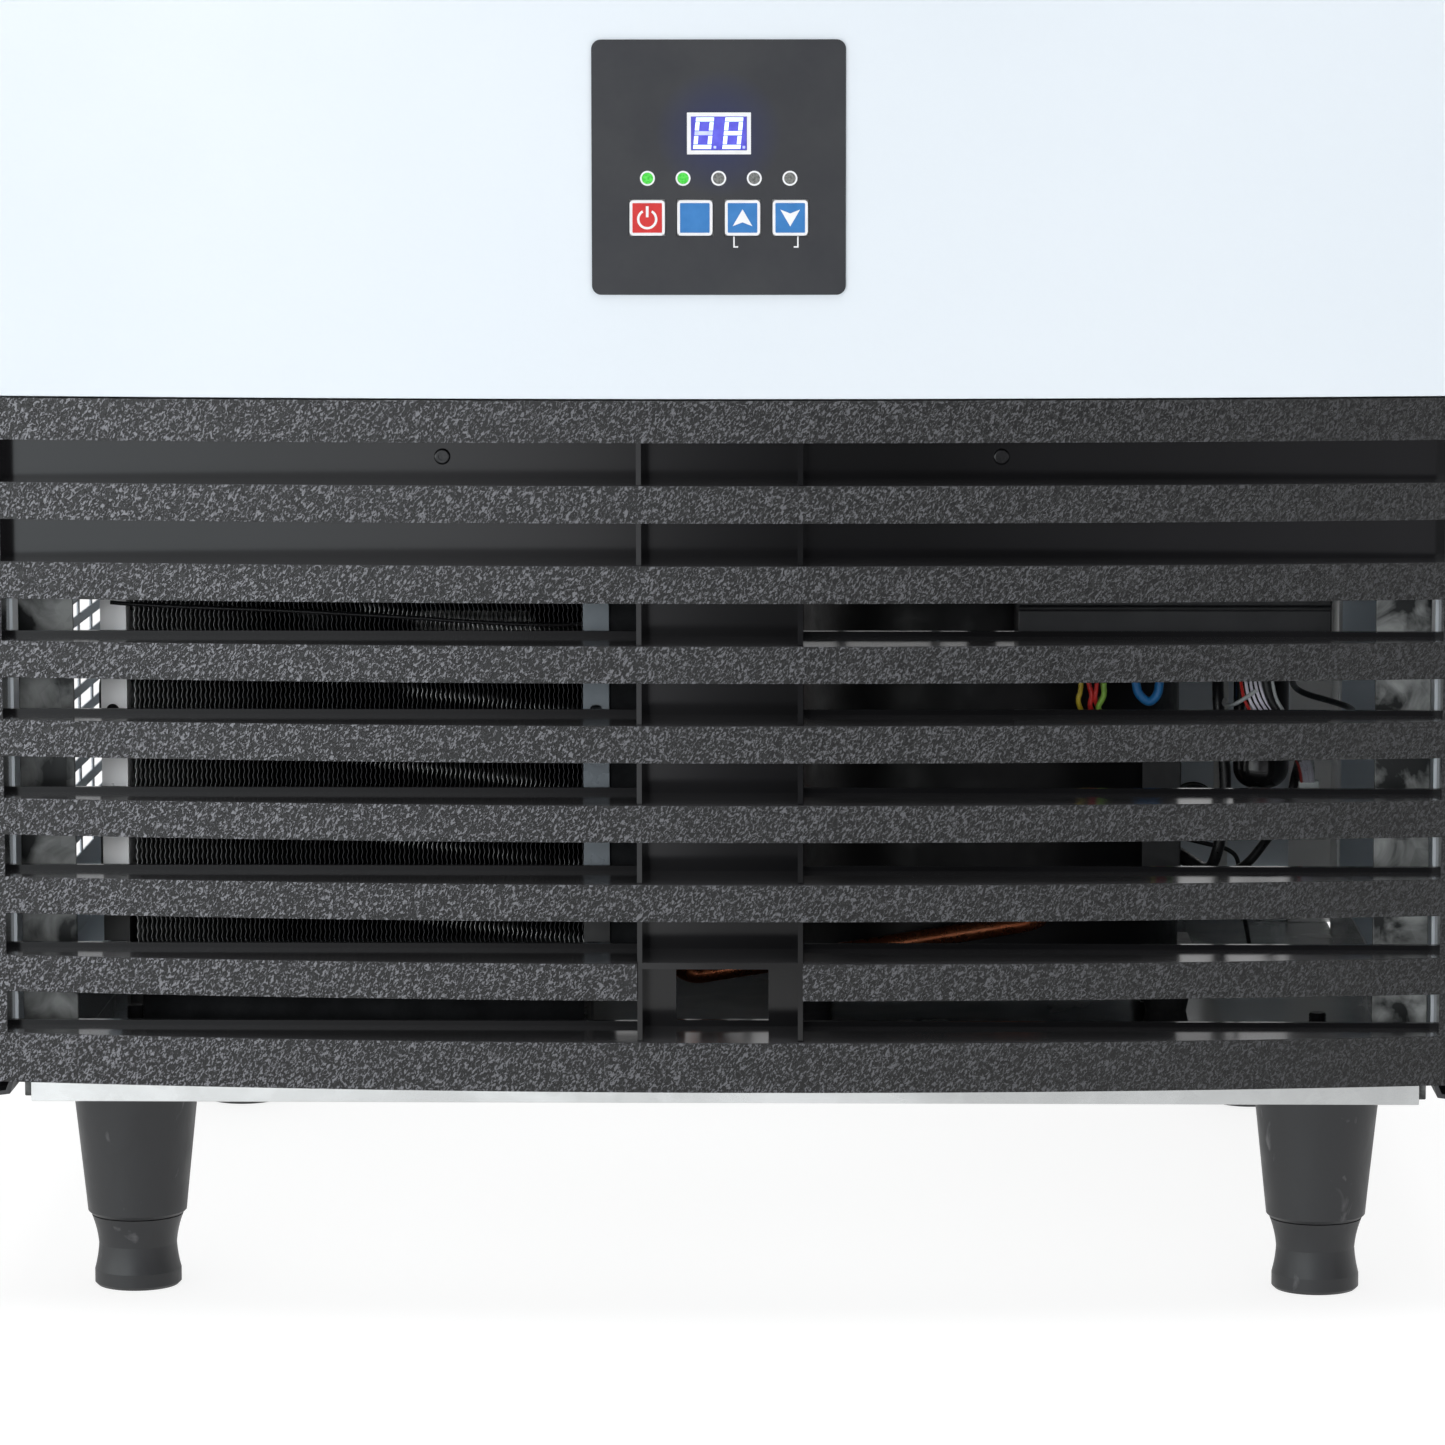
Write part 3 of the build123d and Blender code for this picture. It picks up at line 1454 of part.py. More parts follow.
def pump_y():
    span = trough_y_span()
    return (span[0] + span[1]) / 2


def water_pump():
    """The circulation pump, standing in the trough."""
    y = pump_y()
    floor = trough_bottom + trough_wall
    neck = floor + pump_foot_height
    body_bottom = neck + pump_foot_height
    top = body_bottom + pump_height
    column = pump_foot_radius / 2
    outline = Polyline(
        (0, floor), (pump_foot_radius, floor), (pump_foot_radius, neck), (column, neck),
        (column, body_bottom), (pump_radius, body_bottom), (pump_radius, top - pump_edge),
        (pump_radius - pump_edge, top), (0, top), (0, floor),
    )
    return turned(outline, pump_x, y)


def pump_hose():
    """The hose from the pump's foot up to the distributor."""
    y = pump_y()
    half = evaporator_columns * evaporator_cell / 2
    start_z = trough_bottom + trough_wall + pump_foot_height - pump_hose_radius
    column_x = half + 2 * pump_hose_radius
    points = [
        (pump_x - pump_foot_radius - fit_gap, y, start_z),
        (column_x, y, start_z),
        (column_x, y, start_z + 2 * pump_foot_height),
        (column_x, distributor_y(), distributor_z()),
        (half + fit_gap, distributor_y(), distributor_z()),
    ]
    return pipe(points, pump_outlet_radius, pump_outlet_radius)


def bin_light():
    """The lamp under the bin's roof."""
    y = front_y + light_front_depth
    half = light_width / 2
    lamp = block((-half, half), (y, y + light_depth), (liner_roof - light_height, liner_roof))
    return chamfer(lamp.faces().sort_by(Axis.Z)[0].edges(), light_height / 3)


def bin_probe():
    """The level probe on the bin's left wall."""
    x = -liner_half + probe_bracket + probe_radius
    y = front_y + probe_depth
    z_span = (probe_height - probe_radius, probe_height + probe_radius)
    probe = rod(probe_radius, (x, y, probe_height), (x, y + probe_length, probe_height))
    for start in (y + probe_bracket_inset, y + probe_length - probe_bracket_inset - probe_bracket_length):
        probe += block((-liner_half, x), (start, start + probe_bracket_length), z_span)
    return probe


def terminal_leads():
    """Two thin leads from the box to the front of the terminal cover."""
    box_bottom = deck_height - pan_sheet - electric_box_height - fit_gap
    cover_x = compressor_x + compressor_radius + terminal_reach - terminal_length / 2
    cover_y = front_y + compressor_depth - terminal_depth - fit_gap
    lead_y = front_y + electric_box_front_depth + electric_box_depth - lead_pitch
    leads = []
    for x in spread(2, lead_pitch):
        top_x = electric_box_left + lead_drop_inset + x
        end_z = terminal_bottom + terminal_height * terminal_entry_share
        points = [
            (top_x, lead_y, box_bottom),
            (top_x, lead_y, box_bottom - electric_box_height / 2),
            (cover_x + x, lead_y, end_z),
            (cover_x + x, cover_y, end_z),
        ]
        leads.append(pipe(points, wire_bend, lead_radius))
    return leads


def earth_lead():
    """The rear panel's earth lead, along the right side to the box."""
    box_bottom = deck_height - pan_sheet - electric_box_height - fit_gap
    box_x = electric_box_left + electric_box_width - lead_pitch - cable_radius
    box_y = front_y + electric_box_front_depth + electric_box_depth - lead_pitch
    panel_y = rear_y - sheet - fit_gap
    return pipe([
        (earth_x, panel_y, earth_height),
        (earth_x, panel_y - pipe_rise, earth_height),
        (earth_run_x, tube_up_y, earth_side_height),
        (box_x, box_y, box_bottom - pipe_rise),
        (box_x, box_y, box_bottom),
    ], pipe_bend, cable_radius)


def wiring_harness():
    """Leads from the electric box to the compressor's terminals and to earth."""
    return group(terminal_leads() + [earth_lead()])


nodes = {
    "base_pan": base_pan(),
    "leg_sleeves": leg_sleeves(),
    "corner_posts": corner_posts(),
    "machine_deck": machine_deck(),
    "side_panel_left": vented_side_panel(),
    "side_panel_right": side_panel(),
    "side_trims": group(both_sides(side_trim())),
    "rear_panel": rear_panel(),
    "top_cover": top_cover(),
    "intake_grille": intake_grille(),
    "grille_screws": grille_screws(),
    "front_panel": front_panel(),
    "bin_insulation": bin_insulation(),
    "bin_liner": bin_liner(),
    "hinge_brackets": hinge_brackets(),
    "door_skin": door_skin(),
    "door_liner": door_liner(),
    "door_end_rails": door_end_rails(),
    "door_gasket": door_gasket(),
    "door_grip": door_grip(),
    "control_overlay": control_overlay(),
    "control_housing": control_housing(),
    "control_board": control_board(),
    "indicator_lamps": indicator_lamps(),
    "condenser_fins": condenser_fins(),
    "condenser_end_plates": condenser_end_plates(),
    "condenser_tubes": condenser_tubes(),
    "fan_shroud": fan_shroud(),
    "fan_motor": fan_motor(),
    "fan_blades": fan_blades(),
    "compressor": compressor(),
    "compressor_grommets": compressor_grommets(),
    "terminal_cover": terminal_cover(),
    "electric_box": electric_box(),
    "run_capacitor": run_capacitor(),
    "filter_drier": filter_drier(),
    "refrigerant_pipes": refrigerant_pipes(),
    "suction_pipe": suction_pipe(),
    "hot_gas_valve": hot_gas_valve(),
    "water_valve": water_valve(),
    "drain_hose": drain_hose(),
    "cord_gland": cord_gland(),
    "evaporator": evaporator(),
    "evaporator_coil": evaporator_coil(),
    "water_distributor": water_distributor(),
    "splash_curtain": splash_curtain(),
    "water_trough": water_trough(),
    "water_pump": water_pump(),
    "pump_hose": pump_hose(),
    "bin_light": bin_light(),
    "bin_probe": bin_probe(),
    "wiring_harness": wiring_harness(),
}
for name, (x, y) in leg_places().items():
    nodes["foot_" + name] = foot(x, y)
for name, x in zip(key_names, spread(len(key_names), key_pitch)):
    nodes["key_" + name] = key(x)

os.makedirs("parts", exist_ok=True)
for name, shape in nodes.items():
    export_step(shape, f"parts/{name}.step")
print(len(nodes), "nodes written")
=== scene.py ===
import json
import math

import bmesh
import bpy
from mathutils import Matrix, Vector

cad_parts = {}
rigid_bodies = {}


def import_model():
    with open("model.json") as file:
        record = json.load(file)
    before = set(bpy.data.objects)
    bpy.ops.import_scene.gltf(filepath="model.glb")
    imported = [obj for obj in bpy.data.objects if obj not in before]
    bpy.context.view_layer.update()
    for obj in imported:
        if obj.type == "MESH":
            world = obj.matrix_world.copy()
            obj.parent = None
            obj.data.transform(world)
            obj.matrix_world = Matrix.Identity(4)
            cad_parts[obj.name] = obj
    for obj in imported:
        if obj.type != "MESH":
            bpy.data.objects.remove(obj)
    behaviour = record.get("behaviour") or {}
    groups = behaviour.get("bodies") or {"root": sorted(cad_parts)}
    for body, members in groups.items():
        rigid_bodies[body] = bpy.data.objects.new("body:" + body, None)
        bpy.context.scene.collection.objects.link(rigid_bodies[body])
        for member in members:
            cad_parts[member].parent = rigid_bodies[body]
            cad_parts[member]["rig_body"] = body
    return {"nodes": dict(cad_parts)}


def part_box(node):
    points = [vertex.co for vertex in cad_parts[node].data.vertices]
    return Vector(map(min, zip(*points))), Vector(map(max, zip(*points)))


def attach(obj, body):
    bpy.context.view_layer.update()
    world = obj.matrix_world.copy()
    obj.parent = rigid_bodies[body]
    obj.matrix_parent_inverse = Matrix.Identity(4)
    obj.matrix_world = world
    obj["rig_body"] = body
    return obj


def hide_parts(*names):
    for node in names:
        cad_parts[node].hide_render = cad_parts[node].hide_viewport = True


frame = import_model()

for name in ("Cube", "Light", "Camera"):
    if name in bpy.data.objects:
        bpy.data.objects.remove(bpy.data.objects[name])
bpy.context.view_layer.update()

# The studio: the camera where the photographer stood, soft boxes in front, a white floor that ends
# in a dark room before the machine, and a surround that is white behind it and greyer in front.
# Places are in metres in the machine's own frame.
MM = 0.001
CAMERA_PLACE = (0.0459, -2.1308, 0.4189)
CAMERA_LENS = 150.53
CAMERA_TURN = {"yaw": -1.35, "pitch": 6.64, "roll": -0.073}

camera = bpy.data.objects.new("camera", bpy.data.cameras.new("camera"))
bpy.context.scene.collection.objects.link(camera)
camera.data.lens = CAMERA_LENS
camera.data.sensor_width = 36
camera.data.clip_end = 50
yaw, pitch, roll = [math.radians(CAMERA_TURN[turn]) for turn in ("yaw", "pitch", "roll")]
ahead = Vector((math.sin(yaw) * math.cos(pitch), math.cos(yaw) * math.cos(pitch), -math.sin(pitch)))
level = Vector((math.cos(yaw), -math.sin(yaw), 0))
upright = level.cross(ahead)
across = level * math.cos(roll) + upright * math.sin(roll)
above = upright * math.cos(roll) - level * math.sin(roll)
facing = Matrix((across, above, -ahead)).transposed().to_4x4()
camera.matrix_world = Matrix.Translation(CAMERA_PLACE) @ facing
bpy.context.scene.camera = camera
bpy.context.scene.view_settings.view_transform = "Standard"


def soft_box(name, place, target, size, power):
    """A rectangular studio light that faces the target."""
    lamp = bpy.data.lights.new(name, "AREA")
    lamp.shape = "RECTANGLE"
    lamp.size, lamp.size_y = size
    lamp.energy = power
    light = bpy.data.objects.new(name, lamp)
    bpy.context.scene.collection.objects.link(light)
    light.location = place
    light.rotation_euler = (Vector(target) - Vector(place)).to_track_quat("-Z", "Y").to_euler()
    return light


soft_box("left_soft_box", (-1.35, -2.5, 0.85), (0, -0.2, 0.35), (1.8, 1.7), 4)
soft_box("right_soft_box", (1.7, -2.2, 1.1), (0, -0.2, 0.35), (2.2, 1.6), 1)
soft_box("top_soft_box", (0, -0.7, 2.6), (0, 0, 0.3), (1.6, 1.2), 16)
fill = soft_box("front_fill", (0.05, -2.3, 0.44), (0, 0, 0.2), (2.4, 0.18), 17)
fill.visible_glossy = False

DAYLIGHT = 0.5
ROOM_GLOW = 2.8
ROOM_TONES = ((-32, (1.0, 1.06, 1.06)), (-18, (0.76, 0.82, 0.86)), (-9, (0.66, 0.7, 0.73)),
              (-5, (0.54, 0.55, 0.57)), (-3.2, (0.42, 0.42, 0.44)), (-1.8, (0.02, 0.02, 0.025)),
              (1.5, (0.01, 0.01, 0.01)), (4.7, (0.11, 0.11, 0.12)), (24, (0.3, 0.3, 0.32)),
              (60, (0.1, 0.1, 0.1)))


def combined(tree, kind, first, second):
    """Two numbers or sockets put together by a math operation."""
    node = tree.nodes.new("ShaderNodeMath")
    node.operation = kind
    for socket, value in zip(node.inputs, (first, second)):
        if isinstance(value, (int, float)):
            socket.default_value = value
        else:
            tree.links.new(value, socket)
    return node.outputs[0]


def number_range(tree, value, start, stop, low, high):
    """A value mapped from one range to another."""
    node = tree.nodes.new("ShaderNodeMapRange")
    for socket, number in zip(("From Min", "From Max", "To Min", "To Max"), (start, stop, low, high)):
        node.inputs[socket].default_value = number
    tree.links.new(value, node.inputs["Value"])
    return node.outputs[0]


def tone_mix(tree, factor, first, second):
    """A blend of two colours, each a grey level or a socket."""
    node = tree.nodes.new("ShaderNodeMix")
    node.data_type = "RGBA"
    tree.links.new(factor, node.inputs[0])
    for socket, value in zip((node.inputs[6], node.inputs[7]), (first, second)):
        if isinstance(value, (int, float)):
            socket.default_value = (value, value, value, 1)
        else:
            tree.links.new(value, socket)
    return node.outputs[2]


def room_before(tree, across, ahead):
    """What the machine's front mirrors: a bright window wall on the left, a dark room on the right."""
    turn = combined(tree, "ARCTAN2", across, combined(tree, "MULTIPLY", ahead, -1))
    ramp = tree.nodes.new("ShaderNodeValToRGB")
    first, last = ROOM_TONES[0][0], ROOM_TONES[-1][0]
    for index, (degrees, tone) in enumerate(ROOM_TONES):
        at = (degrees - first) / (last - first)
        stop = ramp.color_ramp.elements[index] if index < 2 else ramp.color_ramp.elements.new(at)
        stop.position, stop.color = at, (*tone, 1)
    along = number_range(tree, turn, math.radians(first), math.radians(last), 0, 1)
    tree.links.new(along, ramp.inputs["Fac"])
    glow = tree.nodes.new("ShaderNodeVectorMath")
    glow.operation = "SCALE"
    glow.inputs["Scale"].default_value = ROOM_GLOW
    tree.links.new(ramp.outputs["Color"], glow.inputs[0])
    return glow.outputs[0]


world = bpy.data.worlds.new("studio")
bpy.context.scene.world = world
world.use_nodes = True
sky = world.node_tree
rays = sky.nodes.new("ShaderNodeLightPath").outputs
direction = sky.nodes.new("ShaderNodeSeparateXYZ")
sky.links.new(sky.nodes.new("ShaderNodeTexCoord").outputs["Generated"], direction.inputs[0])
behind = number_range(sky, direction.outputs["Y"], -0.35, 0.15, 0, 1)
mirrored = tone_mix(sky, behind, room_before(sky, direction.outputs["X"], direction.outputs["Y"]), 1.0)
glossy = combined(sky, "MAXIMUM", rays["Is Glossy Ray"], rays["Is Transmission Ray"])
sky.links.new(tone_mix(sky, rays["Is Camera Ray"], tone_mix(sky, glossy, DAYLIGHT, mirrored), 1.0),
              sky.nodes["Background"].inputs["Color"])

FLOOR_GLOW = 0.8
FLOOR_SHADE = 0.3
PAPER_FRONT = -0.75
shape = bmesh.new()
bmesh.ops.create_circle(shape, cap_ends=True, segments=96, radius=14)
floor_mesh = bpy.data.meshes.new("studio_floor")
shape.to_mesh(floor_mesh)
shape.free()
floor = bpy.data.objects.new("studio_floor", floor_mesh)
bpy.context.scene.collection.objects.link(floor)
paper = bpy.data.materials.new("paper_sweep")
paper.use_nodes = True
sheet = paper.node_tree
plain = sheet.nodes["Principled BSDF"]
plain.inputs["Roughness"].default_value = 0.9
plain.inputs["Emission Strength"].default_value = 1.0
rays = sheet.nodes.new("ShaderNodeLightPath").outputs
spot = sheet.nodes.new("ShaderNodeSeparateXYZ")
sheet.links.new(sheet.nodes.new("ShaderNodeTexCoord").outputs["Object"], spot.inputs[0])
past_paper = combined(sheet, "MULTIPLY", rays["Is Glossy Ray"],
                        number_range(sheet, spot.outputs["Y"], PAPER_FRONT, PAPER_FRONT - 0.5, 0, 1))
room = room_before(sheet, spot.outputs["X"], combined(sheet, "ADD", spot.outputs["Y"], 0.2))
seen_floor = combined(sheet, "MAXIMUM", rays["Is Camera Ray"], rays["Is Glossy Ray"])
seen_floor = combined(sheet, "MAXIMUM", seen_floor, rays["Is Transmission Ray"])
glow = combined(sheet, "MULTIPLY", seen_floor, FLOOR_GLOW)
sheet.links.new(tone_mix(sheet, past_paper, glow, room), plain.inputs["Emission Color"])
sheet.links.new(tone_mix(sheet, past_paper, number_range(sheet, seen_floor, 0, 1, 0.8, FLOOR_SHADE), 0.0),
                plain.inputs["Base Color"])
floor_mesh.materials.append(paper)

# The base pan, the corner posts and the deck: pressed galvanised sheet, spot welded together.
# The zinc shows soft spangle and cloudy patches. Painted light makes the pan lighter at the left wall and
# the posts lighter at the right wall and at the rear, and painted shade makes the pan floor near black
# round the compressor.


def shade(red, green, blue):
    """A colour from its 0 to 255 screen values."""
    linear = [((v / 255 + 0.055) / 1.055) ** 2.4 if v > 10 else v / 255 / 12.92 for v in (red, green, blue)]
    return (*linear, 1)


def start_finish(name, metallic=0.0, specular=0.5):
    """A new material with its shader and its object coordinates."""
    finish = bpy.data.materials.new(name)
    finish.use_nodes = True
    nodes = finish.node_tree.nodes
    shader = nodes["Principled BSDF"]
    shader.inputs["Metallic"].default_value = metallic
    shader.inputs["Specular IOR Level"].default_value = specular
    place = nodes.new("ShaderNodeTexCoord").outputs["Object"]
    return finish, shader, place


def cloud(finish, place, scale, detail=3, stretch=(1, 1, 1), distortion=0.0):
    """Noise of so many cells per metre."""
    nodes, links = finish.node_tree.nodes, finish.node_tree.links
    if stretch != (1, 1, 1):
        mapping = nodes.new("ShaderNodeMapping")
        mapping.inputs["Scale"].default_value = stretch
        links.new(place, mapping.inputs["Vector"])
        place = mapping.outputs["Vector"]
    noise = nodes.new("ShaderNodeTexNoise")
    noise.inputs["Scale"].default_value = scale
    noise.inputs["Detail"].default_value = detail
    noise.inputs["Distortion"].default_value = distortion
    links.new(place, noise.inputs["Vector"])
    return noise.outputs["Fac"]


def blend_tones(finish, factor, tones, low=0.35, high=0.65):
    """A ramp through the tones between two levels of the factor."""
    nodes, links = finish.node_tree.nodes, finish.node_tree.links
    ramp = nodes.new("ShaderNodeValToRGB")
    stops = ramp.color_ramp.elements
    for index, colour in enumerate(tones):
        at = low + (high - low) * index / (len(tones) - 1)
        stop = stops[index] if index < 2 else stops.new(at)
        stop.position, stop.color = at, colour
    links.new(factor, ramp.inputs["Fac"])
    return ramp.outputs["Color"]


def between(finish, factor, low, high, start=0.3, end=0.7):
    """The factor mapped to a range."""
    nodes, links = finish.node_tree.nodes, finish.node_tree.links
    span = nodes.new("ShaderNodeMapRange")
    for socket, value in (("From Min", start), ("From Max", end), ("To Min", low), ("To Max", high)):
        span.inputs[socket].default_value = value
    links.new(factor, span.inputs["Value"])
    return span.outputs[0]


def relief(finish, shader, heights):
    """Bumps one over another: each is a height factor and its depth in metres."""
    nodes, links = finish.node_tree.nodes, finish.node_tree.links
    for height, depth in heights:
        bump = nodes.new("ShaderNodeBump")
        bump.inputs["Distance"].default_value = depth
        if shader.inputs["Normal"].is_linked:
            links.new(shader.inputs["Normal"].links[0].from_socket, bump.inputs["Normal"])
        links.new(height, bump.inputs["Height"])
        links.new(bump.outputs["Normal"], shader.inputs["Normal"])


def plain_finish(name, tones, roughness, bumps, metallic=0.0, specular=0.5, patch=30, low=0.3, high=0.7):
    """A finish whose tone and gloss drift in patches over a fine relief."""
    finish, shader, place = start_finish(name, metallic, specular)
    links = finish.node_tree.links
    drift = cloud(finish, place, patch)
    links.new(blend_tones(finish, drift, tones, low, high), shader.inputs["Base Color"])
    fine = cloud(finish, place, patch * 7)
    links.new(between(finish, fine, *roughness), shader.inputs["Roughness"])
    relief(finish, shader, [(cloud(finish, place, scale), depth) for scale, depth in bumps])
    return finish


def zinc_finish(name, dark, light, roughness, patch, metallic=0.85):
    """Galvanised sheet: cloudy zinc with spangle grains."""
    finish, shader, place = start_finish(name, metallic)
    nodes, links = finish.node_tree.nodes, finish.node_tree.links
    spangle = nodes.new("ShaderNodeTexVoronoi")
    spangle.inputs["Scale"].default_value = 160
    links.new(place, spangle.inputs["Vector"])
    clouds = cloud(finish, place, patch, detail=5, distortion=0.8)
    mixed = nodes.new("ShaderNodeMath")
    mixed.operation = "MULTIPLY_ADD"
    mixed.inputs[1].default_value = 0.05
    links.new(spangle.outputs["Color"], mixed.inputs[0])
    links.new(clouds, mixed.inputs[2])
    links.new(blend_tones(finish, mixed.outputs[0], (dark, light), 0.42, 0.7), shader.inputs["Base Color"])
    links.new(between(finish, mixed.outputs[0], *roughness), shader.inputs["Roughness"])
    relief(finish, shader, [(cloud(finish, place, 420), 0.00004)])
    return finish


def painted_light_across(finish, colour, place, left, right):
    """Painted light: the colour scaled from one factor at the left wall to another at the right wall, as
    light falls across the machine.
    """
    nodes, links = finish.node_tree.nodes, finish.node_tree.links
    parts = nodes.new("ShaderNodeSeparateXYZ")
    links.new(place, parts.inputs[0])
    scaled = nodes.new("ShaderNodeVectorMath")
    scaled.operation = "SCALE"
    links.new(colour, scaled.inputs[0])
    links.new(between(finish, parts.outputs["X"], left, right, -200 * MM, 200 * MM), scaled.inputs["Scale"])
    return scaled.outputs[0]


def dress(node, finish):
    """Gives a CAD node its finish."""
    node_mesh = frame["nodes"][node].data
    node_mesh.materials.clear()
    node_mesh.materials.append(finish)


def body_of(node):
    """The body that a CAD node rides on."""
    return frame["nodes"][node]["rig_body"]


def add_piece(name, shape, finish, body, nodes=(), crease=32):
    """A finished piece from its bmesh: shaded smooth up to the crease angle, on its body."""
    limit = math.radians(crease)
    for face in shape.faces:
        face.smooth = True
    for edge in shape.edges:
        edge.smooth = len(edge.link_faces) == 2 and edge.calc_face_angle(math.pi) < limit
    mesh = bpy.data.meshes.new(name)
    shape.to_mesh(mesh)
    shape.free()
    mesh.materials.append(finish)
    piece = bpy.data.objects.new(name, mesh)
    bpy.context.scene.collection.objects.link(piece)
    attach(piece, body)
    if nodes:
        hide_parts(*nodes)
    return piece


def merged_copy(node):
    """A copy of a CAD node's mesh with its doubled vertices merged."""
    shape = bmesh.new()
    shape.from_mesh(frame["nodes"][node].data)
    bmesh.ops.remove_doubles(shape, verts=shape.verts, dist=0.000002)
    return shape


def eased(name, node, finish, radius, segments=2, sharp=35, shape=None):
    """Stands for a CAD node with its sharp edges rounded."""
    shape = shape or merged_copy(node)
    bmesh.ops.dissolve_limit(shape, angle_limit=math.radians(0.03), verts=shape.verts, edges=shape.edges)
    keen = [e for e in shape.edges if len(e.link_faces) == 2 and e.calc_face_angle(0) > math.radians(sharp)]
    bmesh.ops.bevel(shape, geom=keen, offset=radius, offset_type="OFFSET", affect="EDGES",
                    segments=segments, profile=0.5, material=-1, clamp_overlap=True)
    bmesh.ops.triangulate(shape, faces=shape.faces)
    piece = add_piece(name, shape, finish, body_of(node), [node])
    shading = piece.modifiers.new("flat_faces_stay_flat", "WEIGHTED_NORMAL")
    shading.keep_sharp = True
    return piece


PAN_INSIDE_FROM_Y = -174 * MM
PAN_INSIDE_WHOLE_Y = -168 * MM
SHADED_UP_TO_X = 135 * MM
UNSHADED_FROM_X = 150 * MM
pan_zinc = zinc_finish("pan_zinc", shade(196, 198, 198), shade(226, 228, 228), (0.16, 0.3), 14,
                       metallic=1.0)
tree = pan_zinc.node_tree
shader = tree.nodes["Principled BSDF"]
place = tree.nodes["Texture Coordinate"].outputs["Object"]
# Painted light: the pan's zinc is lighter at the left wall and darker at the right.
bright = painted_light_across(pan_zinc, shader.inputs["Base Color"].links[0].from_socket, place, 1.12, 0.8)
pan_parts = tree.nodes.new("ShaderNodeSeparateXYZ")
tree.links.new(place, pan_parts.inputs[0])
inside = between(pan_zinc, pan_parts.outputs["Y"], 0, 1, PAN_INSIDE_FROM_Y, PAN_INSIDE_WHOLE_Y)
left_part = between(pan_zinc, pan_parts.outputs["X"], 1, 0, SHADED_UP_TO_X, UNSHADED_FROM_X)
upper_side = between(pan_zinc, pan_parts.outputs["Z"], 0, 1, 66.4 * MM, 67 * MM)
# Painted shade: the upper face of the pan floor inside the cabinet, left of the electric side, goes near
# black.
pan_painted_shade = combined(tree, "MULTIPLY", combined(tree, "MULTIPLY", inside, left_part), upper_side)
tree.links.new(tone_mix(tree, pan_painted_shade, bright, 0.03), shader.inputs["Base Color"])
post_zinc = zinc_finish("post_zinc", shade(30, 32, 32), shade(176, 179, 178), (0.34, 0.55), 60,
                        metallic=0.4)
tree = post_zinc.node_tree
shader = tree.nodes["Principled BSDF"]
place = tree.nodes["Texture Coordinate"].outputs["Object"]
# Painted light: the posts are darker at the left wall and lighter at the right, and the rear posts are an
# even light grey as if lit.
post_mottle_painted_light = painted_light_across(post_zinc, shader.inputs["Base Color"].links[0].from_socket, place, 0.75, 1.35)
post_parts = tree.nodes.new("ShaderNodeSeparateXYZ")
tree.links.new(place, post_parts.inputs[0])
rear_posts_painted_light = between(post_zinc, post_parts.outputs["Y"], 0, 1, 80 * MM, 120 * MM)
tree.links.new(tone_mix(tree, rear_posts_painted_light, post_mottle_painted_light, 0.9), shader.inputs["Base Color"])
eased("pan_pressing", "base_pan", pan_zinc, 0.35 * MM)
eased("folded_posts", "corner_posts", post_zinc, 0.4 * MM)
dress("machine_deck", pan_zinc)

# The legs: tapered nylon sleeves pressed under the pan, with a waisted foot screwed into each.
# The moulded charcoal nylon is satin, and the legs are scuffed pale where they have been knocked.
nylon, shader, place = start_finish("leg_nylon")
links = nylon.node_tree.links
scuffs = cloud(nylon, place, 120, detail=9, stretch=(1, 1, 0.6), distortion=0.7)
nylon_tones = (shade(31, 32, 34), shade(36, 37, 39), shade(39, 40, 42), shade(120, 120, 122))
links.new(blend_tones(nylon, scuffs, nylon_tones, 0.3, 0.83), shader.inputs["Base Color"])
links.new(between(nylon, scuffs, 0.42, 0.58), shader.inputs["Roughness"])
relief(nylon, shader, [(cloud(nylon, place, 900, detail=2), 0.00003), (cloud(nylon, place, 160), 0.00005)])
dress("leg_sleeves", nylon)
for corner in ("front_left", "front_right", "rear_left", "rear_right"):
    dress("foot_" + corner, nylon)

# The outer panels and the top: white powder-coated steel sheet with folded edges, screwed to the
# frame at the back. The coat is very slightly blue, with a faint orange-peel surface.
white_coat = plain_finish("white_coat", (shade(230, 239, 247), shade(235, 243, 250)), (0.3, 0.38),
                          [(260, 0.00005), (22, 0.00012)], patch=4)
eased("side_sheet_left", "side_panel_left", white_coat, 0.3 * MM)
eased("side_sheet_right", "side_panel_right", white_coat, 0.3 * MM)
eased("rear_sheet", "rear_panel", white_coat, 0.25 * MM)
cover_plastic = plain_finish("cover_plastic", (shade(228, 237, 245), shade(233, 241, 248)), (0.36, 0.46),
                             [(700, 0.00004), (60, 0.00008)], patch=6)
eased("top_lid", "top_cover", cover_plastic, 0.6 * MM)
trim_black = plain_finish("trim_black", (shade(40, 41, 43), shade(54, 55, 58)), (0.35, 0.5),
                          [(800, 0.00004)], patch=60)
eased("floor_trims", "side_trims", trim_black, 0.25 * MM)

# The intake grille: one black moulding, screwed to the deck's lip through its closed upper wall.
# The faces of its slats are leather grained; the shelves and the wall behind them are glossy.
BOW_RISE = 20.16 * MM
HALF_WIDTH = 250 * MM
FRONT_Y = -224 * MM
BOW_RADIUS = (HALF_WIDTH ** 2 + BOW_RISE ** 2) / (2 * BOW_RISE)


def bow_y(x, proud):
    """Where the surface lies that stands so far proud of the bowed front."""
    return FRONT_Y + BOW_RADIUS - math.sqrt((BOW_RADIUS + proud) ** 2 - x ** 2)


